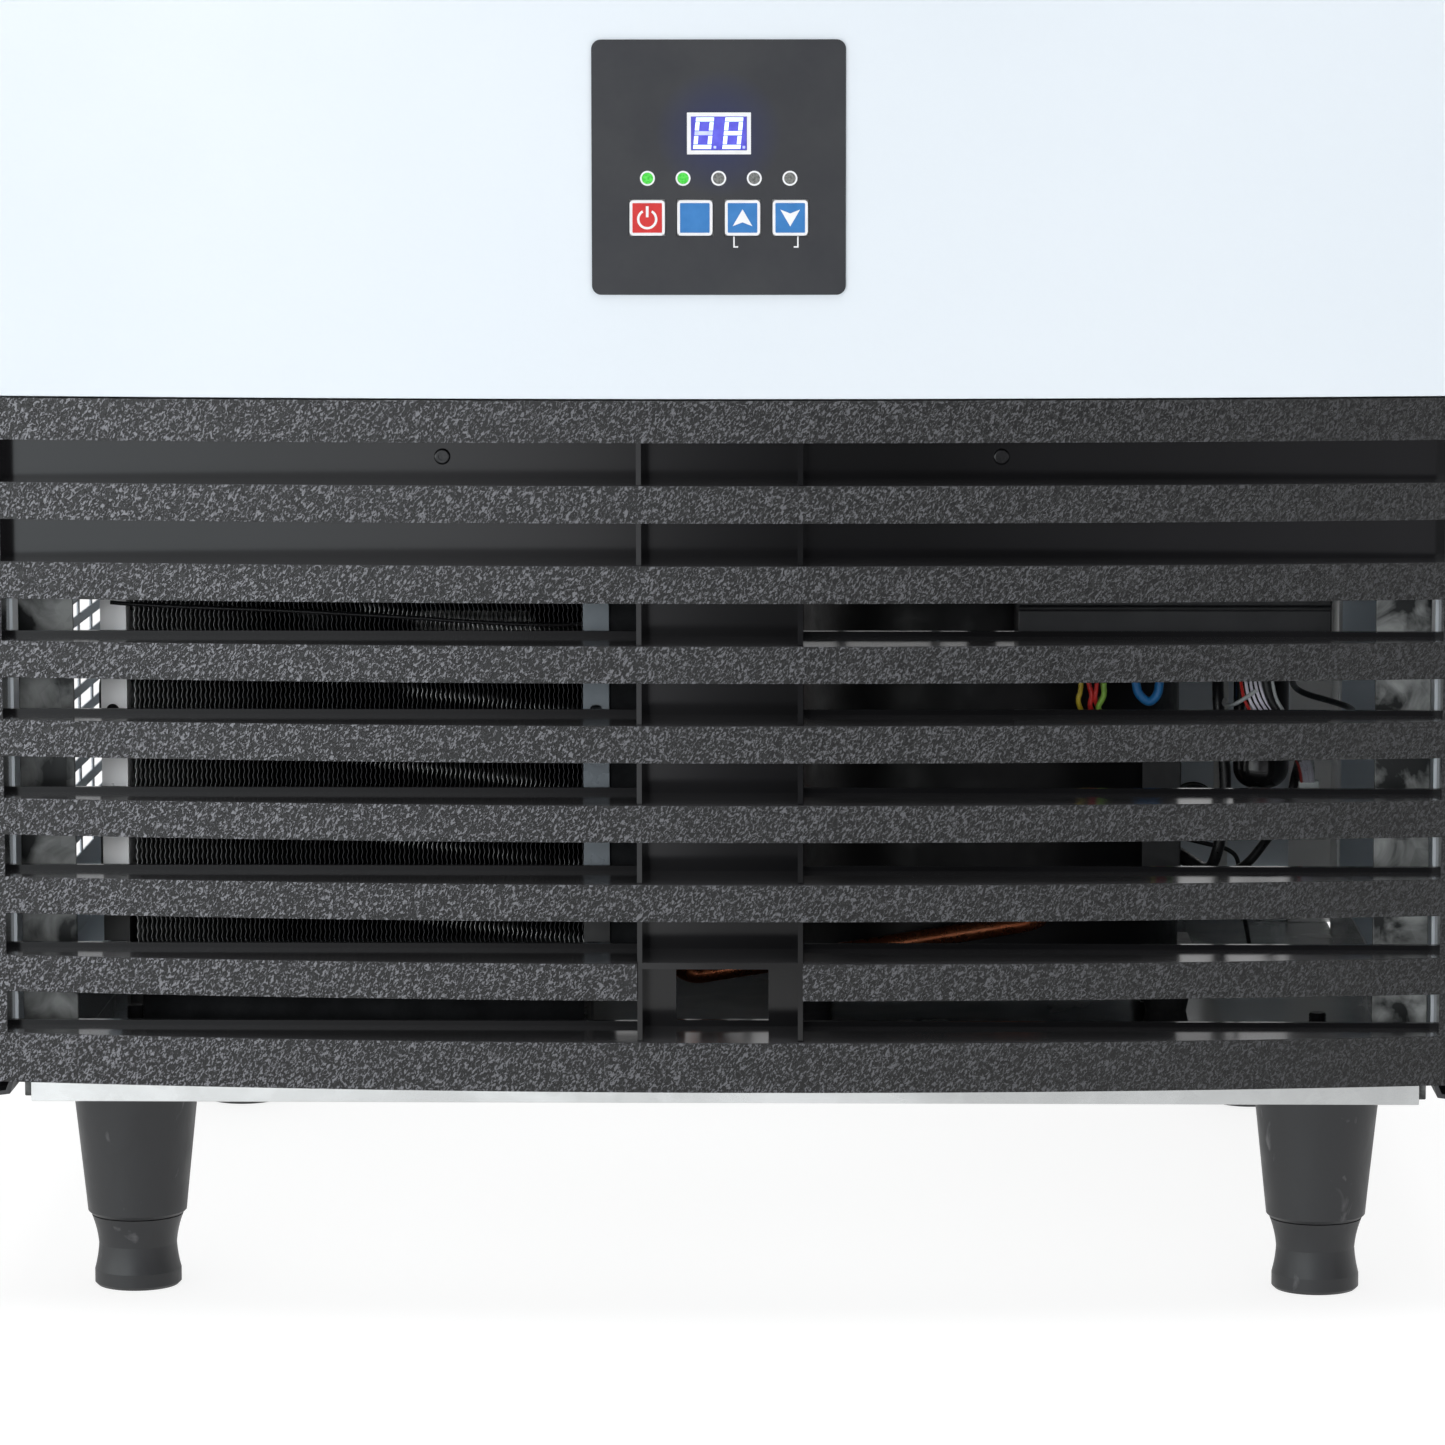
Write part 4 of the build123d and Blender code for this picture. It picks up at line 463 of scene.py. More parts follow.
def front_face_mask(finish, place, depth):
    """1 on what faces forward within the depth of the bowed front, and 0 behind it."""
    nodes, links = finish.node_tree.nodes, finish.node_tree.links
    parts = nodes.new("ShaderNodeSeparateXYZ")
    links.new(place, parts.inputs[0])
    sag = nodes.new("ShaderNodeMath")
    sag.operation = "POWER"
    sag.inputs[1].default_value = 2
    links.new(parts.outputs["X"], sag.inputs[0])
    behind = nodes.new("ShaderNodeMath")
    behind.operation = "MULTIPLY_ADD"
    behind.inputs[1].default_value = -1 / (2 * BOW_RADIUS)
    links.new(sag.outputs[0], behind.inputs[0])
    links.new(parts.outputs["Y"], behind.inputs[2])
    near = nodes.new("ShaderNodeMath")
    near.operation = "LESS_THAN"
    near.inputs[1].default_value = FRONT_Y + depth
    links.new(behind.outputs[0], near.inputs[0])
    return near.outputs[0]


moulded_black, shader, place = start_finish("moulded_black", specular=0.42)
nodes, links = moulded_black.node_tree.nodes, moulded_black.node_tree.links
grained = front_face_mask(moulded_black, place, 0.9 * MM)
turn = nodes.new("ShaderNodeMapping")
turn.vector_type = "TEXTURE"
turn.inputs["Rotation"].default_value = (0, math.radians(35), 0)
turn.inputs["Scale"].default_value = (1, 1, 1.8)
links.new(place, turn.inputs["Vector"])
worms = cloud(moulded_black, turn.outputs["Vector"], 1500, detail=1.5, distortion=0.9)
pits = between(moulded_black, worms, 0, 1, 0.42, 0.6)
held = nodes.new("ShaderNodeMath")
held.operation = "MULTIPLY"
links.new(pits, held.inputs[0])
links.new(grained, held.inputs[1])
relief(moulded_black, shader, [(held.outputs[0], 0.0004)])
leather_tones = (shade(8, 8, 9), shade(22, 22, 24), shade(96, 97, 101))
leather = blend_tones(moulded_black, worms, leather_tones, 0.42, 0.6)
tint = nodes.new("ShaderNodeMix")
tint.data_type = "RGBA"
links.new(grained, tint.inputs[0])
facing_up = nodes.new("ShaderNodeSeparateXYZ")
links.new(nodes.new("ShaderNodeNewGeometry").outputs["Normal"], facing_up.inputs[0])
# The shelves are painted lighter where their faces point upwards.
up_facing_lighter = between(moulded_black, facing_up.outputs["Z"], 0, 1, 0.7, 0.95)
glossy_black = blend_tones(moulded_black, cloud(moulded_black, place, 20),
                           (shade(12, 12, 13), shade(18, 18, 20)))
shelf_top_tone = nodes.new("ShaderNodeMix")
shelf_top_tone.data_type = "RGBA"
links.new(up_facing_lighter, shelf_top_tone.inputs[0])
links.new(glossy_black, shelf_top_tone.inputs[6])
shelf_top_tone.inputs[7].default_value = shade(84, 84, 86)
links.new(shelf_top_tone.outputs[2], tint.inputs[6])
# Painted light: the grained slat faces are lighter at the left wall and darker at the right.
links.new(painted_light_across(moulded_black, leather, place, 2.0, 0.35), tint.inputs[7])
links.new(tint.outputs[2], shader.inputs["Base Color"])
gloss = nodes.new("ShaderNodeMapRange")
gloss.inputs["To Min"].default_value = 0.12
gloss.inputs["To Max"].default_value = 0.34
links.new(grained, gloss.inputs["Value"])
links.new(gloss.outputs[0], shader.inputs["Roughness"])
COLUMN = 10.1 * MM
ON_BOW = 0.3 * MM
FACET_SAG = 2.5 * MM
shape = merged_copy("intake_grille")
for column in range(-24, 25):
    bmesh.ops.bisect_plane(shape, geom=shape.verts[:] + shape.edges[:] + shape.faces[:], dist=0.000002,
                           plane_co=(column * COLUMN, 0, 0), plane_no=(1, 0, 0))
for vert in shape.verts:
    behind = abs(vert.co.y - bow_y(vert.co.x, 0))
    in_front_face = all(face.normal.y < -0.85 for face in vert.link_faces)
    if behind < ON_BOW or behind < FACET_SAG and in_front_face:
        vert.co.y = bow_y(vert.co.x, 0)
eased("louvre_moulding", "intake_grille", moulded_black, 0.3 * MM, shape=shape)

black_screw = plain_finish("black_screw", (shade(12, 12, 13), shade(22, 22, 24)), (0.14, 0.26),
                           [(500, 0.00003)], patch=200)
dress("grille_screws", black_screw)

# The front: a bowed white steel tray that holds the control plate, and the door above it, whose
# steel face is folded round a foamed core. Both have the same coat as the sides.
eased("front_tray", "front_panel", white_coat, 0.4 * MM)
eased("door_face", "door_skin", white_coat, 0.4 * MM)
door_plastic = plain_finish("door_plastic", (shade(222, 228, 233), shade(232, 238, 243)), (0.35, 0.5),
                            [(500, 0.00005)], patch=14)
dress("door_liner", door_plastic)
dress("door_end_rails", door_plastic)
seal_rubber = plain_finish("seal_rubber", (shade(196, 200, 204), shade(210, 214, 218)), (0.5, 0.7),
                           [(300, 0.00006)], patch=40)
dress("door_gasket", seal_rubber)
eased("door_pull", "door_grip", door_plastic, 0.5 * MM)
hinge_steel = plain_finish("hinge_steel", (shade(120, 122, 124), shade(168, 170, 172)), (0.25, 0.45),
                           [(400, 0.00004)], metallic=0.9, patch=60)
dress("hinge_brackets", hinge_steel)

# The bin: a moulded white tank, closed at the top by the cover. Foam is poured round it, which fills
# the cabinet's walls and holds it in place.
foam_skin = plain_finish("foam_skin", (shade(206, 190, 140), shade(228, 214, 170)), (0.6, 0.8),
                         [(120, 0.0004), (600, 0.0001)], patch=30)
dress("bin_insulation", foam_skin)
bin_plastic = plain_finish("bin_plastic", (shade(220, 227, 232), shade(231, 237, 242)), (0.28, 0.4),
                           [(300, 0.00004), (30, 0.0001)], patch=10)
dress("bin_liner", bin_plastic)

# The control plate: a charcoal membrane faceplate that follows the bow, printed with white frames
# and rings, over a black housing that holds the board, the display, the lamps and four keys.
PLATE_PROUD = 1 * MM
INK = 0.06 * MM
DISPLAY_Z = 383.3
LAMP_Z = 369.2
LAMP_PITCH = 11.2
ink_white = plain_finish("ink_white", (shade(240, 242, 245), shade(248, 249, 252)), (0.4, 0.5),
                         [(900, 0.00001)], patch=200)


def rounded_plate(shape, centre, size, corner):
    """A flat rounded rectangle facing forward at x, z; returns its face."""
    x, z = centre
    before = set(shape.faces)
    spread = Matrix.Translation((x, 0, z)) @ Matrix.Rotation(math.radians(90), 4, "X")
    scale = Matrix.Diagonal((size[0] / 2, size[1] / 2, 1, 1))
    made = bmesh.ops.create_grid(shape, x_segments=1, y_segments=1, size=1, matrix=spread @ scale)
    if corner:
        bmesh.ops.bevel(shape, geom=made["verts"], offset=corner, offset_type="OFFSET", affect="VERTICES",
                        segments=4, profile=0.5, material=-1)
    return [face for face in shape.faces if face not in before]


def frame_print(shape, centre, size, corner, border):
    """A printed outline: a rounded rectangle with its middle taken out."""
    faces = rounded_plate(shape, centre, size, corner)
    bmesh.ops.inset_region(shape, faces=faces, thickness=border, use_even_offset=True,
                           use_boundary=True)
    bmesh.ops.delete(shape, geom=faces, context="FACES_ONLY")


def ring_print(shape, centre, outer, inner):
    """A printed ring."""
    x, z = centre
    place = Matrix.Translation((x, 0, z)) @ Matrix.Rotation(math.radians(90), 4, "X")
    edges = []
    for radius in (outer, inner):
        circle = bmesh.ops.create_circle(shape, segments=40, radius=radius, matrix=place)
        edges += list({edge for vert in circle["verts"] for edge in vert.link_edges})
    bmesh.ops.bridge_loops(shape, edges=edges)


def outline_print(shape, corners):
    """A flat shape through the given x, z corners."""
    verts = [shape.verts.new((x, 0, z)) for x, z in corners]
    return shape.faces.new(verts)


def lay_on(shape, front, thickness=INK, curved=True):
    """Gives a flat print its thickness and lays it on the plate's curve, or on a flat at that depth."""
    bmesh.ops.recalc_face_normals(shape, faces=shape.faces)
    for face in shape.faces:
        if face.normal.y > 0:
            face.normal_flip()
    back = bmesh.ops.extrude_face_region(shape, geom=shape.faces[:], use_keep_orig=True)
    lifted = {vert for vert in back["geom"] if isinstance(vert, bmesh.types.BMVert)}
    for vert in shape.verts:
        base = bow_y(vert.co.x, front) if curved else front
        vert.co.y = base - (thickness if vert in lifted else 0)
    bmesh.ops.recalc_face_normals(shape, faces=shape.faces)


membrane, shader, place = start_finish("plate_membrane", specular=0.35)
nodes, links = membrane.node_tree.nodes, membrane.node_tree.links
reach = nodes.new("ShaderNodeVectorMath")
reach.operation = "LENGTH"
offset = nodes.new("ShaderNodeVectorMath")
offset.operation = "SUBTRACT"
offset.inputs[1].default_value = (0, FRONT_Y, DISPLAY_Z * MM)
links.new(place, offset.inputs[0])
links.new(offset.outputs[0], reach.inputs[0])
# Painted light: the membrane within 8 to 20 mm of the display is tinted blue, as if lit by its glow.
display_glow_painted = between(membrane, reach.outputs["Value"], 1, 0, 8 * MM, 20 * MM)
skin = nodes.new("ShaderNodeMix")
skin.data_type = "RGBA"
skin.inputs[7].default_value = shade(42, 46, 72)
links.new(display_glow_painted, skin.inputs[0])
links.new(blend_tones(membrane, cloud(membrane, place, 60), (shade(45, 46, 50), shade(51, 52, 55))),
          skin.inputs[6])
links.new(skin.outputs[2], shader.inputs["Base Color"])
links.new(between(membrane, cloud(membrane, place, 400), 0.45, 0.55), shader.inputs["Roughness"])
relief(membrane, shader, [(cloud(membrane, place, 1500, detail=1), 0.00002)])
eased("plate_film", "control_overlay", membrane, 0.12 * MM)

shape = bmesh.new()
frame_print(shape, (0.1 * MM, 383.25 * MM), (20.1 * MM, 13.1 * MM), 0, 1.25 * MM)
for index in range(5):
    ring_print(shape, ((index - 2) * LAMP_PITCH * MM, LAMP_Z * MM), 2.35 * MM, 1.8 * MM)
STEM_TOP, BAR_TOP, BAR_LOW = 351, 347.9, 347.45
HALF_STEM = 0.22
for x, run, side in ((4.8, 6.1, -1), (24.9, 23.6, 1)):
    outer, inner = x + side * HALF_STEM, x - side * HALF_STEM
    corners = ((outer, STEM_TOP), (inner, STEM_TOP), (inner, BAR_TOP), (run, BAR_TOP), (run, BAR_LOW),
               (outer, BAR_LOW))
    outline_print(shape, [(corner_x * MM, corner_z * MM) for corner_x, corner_z in corners])
lay_on(shape, PLATE_PROUD)
add_piece("plate_print", shape, ink_white, "cabinet")

housing_black = plain_finish("housing_black", (shade(26, 26, 28), shade(38, 38, 41)), (0.4, 0.6),
                             [(700, 0.00005)], patch=50)
dress("control_housing", housing_black)
board_green = plain_finish("board_green", (shade(18, 62, 40), shade(30, 84, 54)), (0.35, 0.5),
                           [(900, 0.00005)], patch=120)
dress("control_board", board_green)

lamp_glass, shader, place = start_finish("lamp_glass")
nodes, links = lamp_glass.node_tree.nodes, lamp_glass.node_tree.links
parts = nodes.new("ShaderNodeSeparateXYZ")
links.new(place, parts.inputs[0])
lit = nodes.new("ShaderNodeMath")
lit.operation = "LESS_THAN"
lit.inputs[1].default_value = -5 * MM
links.new(parts.outputs["X"], lit.inputs[0])
glass = nodes.new("ShaderNodeMix")
glass.data_type = "RGBA"
links.new(lit.outputs[0], glass.inputs[0])
mottle = cloud(lamp_glass, place, 1200)
links.new(blend_tones(lamp_glass, mottle, (shade(96, 98, 96), shade(128, 130, 127))), glass.inputs[6])
links.new(blend_tones(lamp_glass, mottle, (shade(52, 190, 52), shade(84, 212, 76))), glass.inputs[7])
links.new(glass.outputs[2], shader.inputs["Base Color"])
links.new(glass.outputs[2], shader.inputs["Emission Color"])
links.new(between(lamp_glass, lit.outputs[0], 0, 0.22, 0, 1), shader.inputs["Emission Strength"])
links.new(between(lamp_glass, mottle, 0.2, 0.35), shader.inputs["Roughness"])
dress("indicator_lamps", lamp_glass)

DISPLAY_Y = FRONT_Y + 0.5 * MM
display_pane, shader, place = start_finish("display_pane")
links = display_pane.node_tree.links
haze = blend_tones(display_pane, cloud(display_pane, place, 300), (shade(84, 82, 204), shade(96, 96, 214)))
links.new(haze, shader.inputs["Base Color"])
links.new(haze, shader.inputs["Emission Color"])
shader.inputs["Emission Strength"].default_value = 0.35
shader.inputs["Roughness"].default_value = 0.15
shape = bmesh.new()
rounded_plate(shape, (0, DISPLAY_Z * MM), (17.6 * MM, 10.6 * MM), 0)
lay_on(shape, DISPLAY_Y, 0.1 * MM, curved=False)
add_piece("display_glass", shape, display_pane, "cabinet")

segment_light, shader, place = start_finish("segment_light")
links = segment_light.node_tree.links
pale = blend_tones(segment_light, cloud(segment_light, place, 500),
                   (shade(216, 240, 255), shade(236, 252, 255)))
links.new(pale, shader.inputs["Base Color"])
links.new(pale, shader.inputs["Emission Color"])
shader.inputs["Emission Strength"].default_value = 0.75
segment_dim, shader, place = start_finish("segment_dim")
links = segment_dim.node_tree.links
pale = blend_tones(segment_dim, cloud(segment_dim, place, 500),
                   (shade(168, 178, 244), shade(182, 192, 250)))
links.new(pale, shader.inputs["Base Color"])
links.new(pale, shader.inputs["Emission Color"])
shader.inputs["Emission Strength"].default_value = 0.6
SLANT = 0.1


def segment_bars(middle_x, unlit):
    """The seven bars of a figure, as corner lists; the unlit ones are returned apart."""
    wide, tall, bar, gap = 5.9, 10.1, 1.5, 0.12
    half_w, half_h, edge = wide / 2, tall / 2, bar / 2
    spans = {"top": (-half_w, half_w, half_h - bar, half_h), "middle": (-half_w, half_w, -edge, edge),
             "low": (-half_w, half_w, -half_h, bar - half_h),
             "upper_left": (-half_w, bar - half_w, edge, half_h - bar),
             "upper_right": (half_w - bar, half_w, edge, half_h - bar),
             "lower_left": (-half_w, bar - half_w, bar - half_h, -edge),
             "lower_right": (half_w - bar, half_w, bar - half_h, -edge)}
    bars = {True: [], False: []}
    for name, (left, right, low, high) in spans.items():
        corners = []
        for x, z in ((left + gap, low + gap), (right - gap, low + gap), (right - gap, high - gap),
                     (left + gap, high - gap)):
            corners.append(((middle_x + x + SLANT * z) * MM, (DISPLAY_Z + z) * MM))
        bars[name in unlit].append(corners)
    return bars


figures = (segment_bars(-4.75, {"middle"}), segment_bars(4.45, set()))
for name, unlit, finish in (("display_figures", False, segment_light),
                            ("display_idle_bar", True, segment_dim)):
    shape = bmesh.new()
    for figure in figures:
        for corners in figure[unlit]:
            outline_print(shape, corners)
    if unlit:
        for x in (-1.2, 7.9):
            outline_print(shape, [((x + dx) * MM, (378.9 + dz) * MM) for dx, dz in (
                (-0.4, -0.4), (0.4, -0.4), (0.4, 0.4), (-0.4, 0.4))])
    lay_on(shape, DISPLAY_Y - 0.1 * MM, 0.05 * MM, curved=False)
    add_piece(name, shape, finish, "cabinet")

KEY_Z = 356.8
KEY_FACE_Y = FRONT_Y - 1.3 * MM
key_white = plain_finish("key_white", (shade(238, 240, 243), shade(246, 247, 250)), (0.35, 0.45),
                         [(900, 0.00002)], patch=200)
key_red = plain_finish("key_red", (shade(200, 38, 40), shade(212, 50, 50)), (0.35, 0.45),
                       [(900, 0.00002)], patch=200)
key_blue = plain_finish("key_blue", (shade(42, 116, 184), shade(56, 128, 196)), (0.35, 0.45),
                        [(900, 0.00002)], patch=200)
keys = (("power", -22.5, key_red, "key_red"), ("light", -7.5, key_blue, "key_blue"),
        ("up", 7.5, key_blue, "key_blue"), ("down", 22.5, key_blue, "key_blue"))
for name, x, colour, slot in keys:
    eased("cap_" + name, "key_" + name, key_white, 0.15 * MM)
    shape = bmesh.new()
    rounded_plate(shape, (x * MM, KEY_Z * MM), (9.3 * MM, 9.3 * MM), 0.25 * MM)
    lay_on(shape, KEY_FACE_Y, curved=False)
    add_piece("field_" + name, shape, colour, "key_" + name)
for name, x, way in (("up", 7.5, 1), ("down", 22.5, -1)):
    shape = bmesh.new()
    outline_print(shape, [((x + dx) * MM, (KEY_Z + way * dz) * MM) for dx, dz in (
        (-3.1, -2.6), (0, -1.4), (3.1, -2.6), (0, 2.7))])
    lay_on(shape, KEY_FACE_Y - INK, 0.04 * MM, curved=False)
    add_piece("arrow_" + name, shape, ink_white, "key_" + name)
shape = bmesh.new()
arc, steps = math.radians(300), 30
for step in range(steps):
    ends = [math.radians(90) + math.radians(30) + arc * (step + half) / steps for half in (0, 1)]
    outline_print(shape, [((-22.5 + r * math.cos(a)) * MM, (KEY_Z - 0.4 + r * math.sin(a)) * MM)
                          for a, r in ((ends[0], 3.2), (ends[0], 2.45), (ends[1], 2.45), (ends[1], 3.2))])
bmesh.ops.remove_doubles(shape, verts=shape.verts, dist=0.000001)
outline_print(shape, [((-22.5 + dx) * MM, (KEY_Z + dz) * MM) for dx, dz in (
    (-0.42, 0.2), (0.42, 0.2), (0.42, 3.7), (-0.42, 3.7))])
lay_on(shape, KEY_FACE_Y - INK, 0.04 * MM, curved=False)
add_piece("power_mark", shape, ink_white, "key_power")

# The condenser: wavy aluminium fins pressed on a serpentine of tube and coated black with it, between
# folded galvanised end plates that stand on the pan, with the fan in its steel shroud behind.
FIN_COUNT = 96
FIN_SHEET = 0.16 * MM
WAVE = 3.4 * MM
SWING = 0.26 * MM
STREAK_FALL = 0.132
STREAK_Z = 130.6 * MM
HALF_STREAK_PITCH = 12.75 * MM
fin_black, shader, place = start_finish("fin_black", metallic=0.3)
nodes, links = fin_black.node_tree.nodes, fin_black.node_tree.links
fin_parts = nodes.new("ShaderNodeSeparateXYZ")
links.new(place, fin_parts.inputs[0])
tree = fin_black.node_tree
# Painted highlights: pale slanting streaks across the fins, on the first fin and on the fins near the left
# wall, mixed towards a pale metal tone.
slanted_height = combined(tree, "MULTIPLY_ADD", fin_parts.outputs["X"], STREAK_FALL)
links.new(fin_parts.outputs["Z"], slanted_height.node.inputs[2])
slant = combined(tree, "PINGPONG", combined(tree, "SUBTRACT", slanted_height, STREAK_Z), HALF_STREAK_PITCH)
painted_streaks = combined(tree, "MULTIPLY", between(fin_black, slant, 1, 0, 0.5 * MM, 2 * MM),
                   between(fin_black, cloud(fin_black, place, 26), 0, 1, 0.4, 0.52))
first_fin_highlight = between(fin_black, fin_parts.outputs["X"], 1, 0, -198 * MM, -197 * MM)
left_fins_highlight = between(fin_black, fin_parts.outputs["X"], 0.4, 0, -198 * MM, -150 * MM)
painted_highlights = combined(tree, "MAXIMUM", combined(tree, "MAXIMUM", painted_streaks, first_fin_highlight), left_fins_highlight)
coat_and_highlights = nodes.new("ShaderNodeMix")
coat_and_highlights.data_type = "RGBA"
links.new(painted_highlights, coat_and_highlights.inputs[0])
links.new(blend_tones(fin_black, cloud(fin_black, place, 40), (shade(52, 53, 54), shade(74, 75, 77))),
          coat_and_highlights.inputs[6])
coat_and_highlights.inputs[7].default_value = shade(206, 208, 208)
links.new(coat_and_highlights.outputs[2], shader.inputs["Base Color"])
links.new(between(fin_black, cloud(fin_black, place, 300), 0.28, 0.4), shader.inputs["Roughness"])
core_low, core_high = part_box("condenser_fins")
core_low.z -= 6 * MM
core_low.x += 2.2 * MM
core_size = core_high - core_low
shape = bmesh.new()
fin_size = Matrix.Diagonal((core_size.z / 2, core_size.y / 2, 1, 1))
upright = Matrix.Rotation(math.radians(-90), 4, "Y") @ fin_size
first_fin = Matrix.Translation((core_low.x + SWING + FIN_SHEET, (core_low.y + core_high.y) / 2,
                                (core_low.z + core_high.z) / 2))
bmesh.ops.create_grid(shape, x_segments=4 * round(core_size.z / WAVE), y_segments=1, size=1,
                      matrix=first_fin @ upright)
for vert in shape.verts:
    vert.co.x += SWING * math.sin(math.tau * (vert.co.z - core_low.z) / WAVE)
bmesh.ops.solidify(shape, geom=shape.faces[:], thickness=FIN_SHEET)
fins = add_piece("wavy_fins", shape, fin_black, "cabinet", ["condenser_fins"], crease=60)
row = fins.modifiers.new("row_of_fins", "ARRAY")
row.count = FIN_COUNT
row.use_relative_offset = False
row.use_constant_offset = True
row.constant_offset_displace = ((core_size.x - 2 * (SWING + FIN_SHEET)) / (FIN_COUNT - 1), 0, 0)

foam_black = plain_finish("foam_black", (shade(30, 31, 33), shade(44, 46, 48)), (0.8, 0.95),
                          [(900, 0.0003)], specular=0.2, patch=80)
shape = bmesh.new()
strip = Matrix.Diagonal((core_size.x, 12 * MM, core_low.z + 1 * MM - 67 * MM, 1))
bmesh.ops.create_cube(shape, size=1, matrix=Matrix.Translation((
    (core_low.x + core_high.x) / 2, -102 * MM, (core_low.z + 1 * MM + 67 * MM) / 2)) @ strip)
bmesh.ops.bevel(shape, geom=shape.edges[:], offset=1.2 * MM, affect="EDGES", segments=2,
                profile=0.5, material=-1)
side_strip = Matrix.Diagonal((17 * MM, 8 * MM, core_size.z, 1))
made = bmesh.ops.create_cube(shape, size=1, matrix=Matrix.Translation((
    -30.8 * MM, -119 * MM, (core_low.z + core_high.z) / 2)) @ side_strip)
rims = list({edge for vert in made["verts"] for edge in vert.link_edges})
bmesh.ops.bevel(shape, geom=rims, offset=1.2 * MM, affect="EDGES", segments=2, profile=0.5, material=-1)
add_piece("foam_strips", shape, foam_black, "cabinet")

plate_zinc, shader, place = start_finish("plate_zinc", metallic=0.3, specular=0.8)
nodes, links = plate_zinc.node_tree.nodes, plate_zinc.node_tree.links
ends = nodes.new("ShaderNodeSeparateXYZ")
links.new(place, ends.inputs[0])
# Painted light: the left end plate is near white where it faces the light, and the right one is a darker
# bluish grey in shade.
sides = nodes.new("ShaderNodeMix")
sides.data_type = "RGBA"
links.new(between(plate_zinc, ends.outputs["X"], 0, 1, -130 * MM, -120 * MM), sides.inputs[0])
mottle = cloud(plate_zinc, place, 60, detail=5)
links.new(blend_tones(plate_zinc, mottle, (shade(250, 251, 252), shade(254, 254, 255))), sides.inputs[6])
links.new(blend_tones(plate_zinc, mottle, (shade(120, 129, 136), shade(140, 149, 156))), sides.inputs[7])
# Painted shade: both plates go near black below 120 to 126 mm.
plate_painted_shade = tone_mix(plate_zinc.node_tree, between(plate_zinc, ends.outputs["Z"], 1, 0, 120 * MM, 126 * MM),
                sides.outputs[2], 0.02)
links.new(plate_painted_shade, shader.inputs["Base Color"])
links.new(between(plate_zinc, mottle, 0.25, 0.4), shader.inputs["Roughness"])
relief(plate_zinc, shader, [(cloud(plate_zinc, place, 420), 0.00004)])
eased("condenser_end_sheets", "condenser_end_plates", plate_zinc, 0.25 * MM)

coil_black = plain_finish("coil_black", (shade(22, 22, 23), shade(36, 36, 38)), (0.3, 0.45),
                          [(500, 0.00005)], patch=60)
dress("condenser_tubes", coil_black)
shroud_steel = plain_finish("shroud_steel", (shade(30, 31, 32), shade(44, 45, 47)), (0.4, 0.6),
                            [(600, 0.00005)], patch=40)
dress("fan_shroud", shroud_steel)
blade_plastic = plain_finish("blade_plastic", (shade(30, 31, 33), shade(44, 45, 47)), (0.3, 0.5),
                             [(500, 0.00005)], patch=40)
dress("fan_blades", blade_plastic)
motor_steel = plain_finish("motor_steel", (shade(104, 107, 110), shade(150, 153, 156)), (0.3, 0.5),
                           [(400, 0.00005)], metallic=0.8, patch=40)
dress("fan_motor", motor_steel)
copper = plain_finish("copper", (shade(176, 96, 62), shade(206, 130, 92)), (0.2, 0.4),
                      [(300, 0.00005)], metallic=0.95, patch=60)
dress("refrigerant_pipes", copper)
dress("filter_drier", copper)

# The compressor: a black-enamelled steel shell on rubber feet, with its terminal cover, under the
# electric box that hangs from the deck with its run capacitor.
shell_enamel = plain_finish("shell_enamel", (shade(8, 8, 9), shade(14, 14, 15)), (0.35, 0.5),
                            [(260, 0.00008), (900, 0.00003)], specular=0.25, patch=30)
shape = merged_copy("compressor")
SHELL_X = 89 * MM
SHELL_Y = -6 * MM
SHELL_RADIUS = 68 * MM
SHELL_WIDENED = 1.08
DOME_RISE = 30 * MM
DOME_POWER = 6
dome_top = max(vert.co.z for vert in shape.verts)
for vert in shape.verts:
    rise = (vert.co.z - dome_top + DOME_RISE) / DOME_RISE
    spread = math.hypot(vert.co.x - SHELL_X, vert.co.y - SHELL_Y)
    if 0.02 < rise < 0.98 and spread > 20 * MM:
        fuller = SHELL_RADIUS * (1 - rise ** DOME_POWER) ** (1 / DOME_POWER) / spread
    elif rise <= 0.02 and 58 * MM < spread < 64 * MM:
        fuller = SHELL_WIDENED
    else:
        fuller = 1
    vert.co.x = SHELL_X + (vert.co.x - SHELL_X) * fuller
    vert.co.y = SHELL_Y + (vert.co.y - SHELL_Y) * fuller
add_piece("compressor_shell", shape, shell_enamel, "cabinet", ["compressor"])
rubber = plain_finish("rubber", (shade(22, 22, 23), shade(38, 38, 40)), (0.6, 0.8),
                      [(700, 0.00008)], patch=80)
dress("compressor_grommets", rubber)
cover_black = plain_finish("cover_black", (shade(26, 27, 28), shade(38, 39, 41)), (0.4, 0.55),
                           [(700, 0.00005)], patch=60)
eased("terminal_cap", "terminal_cover", cover_black, 0.8 * MM)
box_grey = plain_finish("box_grey", (shade(24, 25, 27), shade(38, 39, 41)), (0.35, 0.5),
                        [(600, 0.00005)], patch=40)
eased("electric_case", "electric_box", box_grey, 0.6 * MM)
can_black = plain_finish("can_black", (shade(10, 10, 11), shade(18, 18, 19)), (0.12, 0.22),
                         [(500, 0.00002)], patch=40)
dress("run_capacitor", can_black)
lagging = plain_finish("lagging", (shade(26, 26, 27), shade(44, 44, 46)), (0.7, 0.85),
                       [(900, 0.0003)], patch=80)
dress("suction_pipe", lagging)
brass = plain_finish("brass", (shade(176, 148, 88), shade(206, 178, 116)), (0.25, 0.45),
                     [(400, 0.00005)], metallic=0.95, patch=60)
dress("hot_gas_valve", brass)

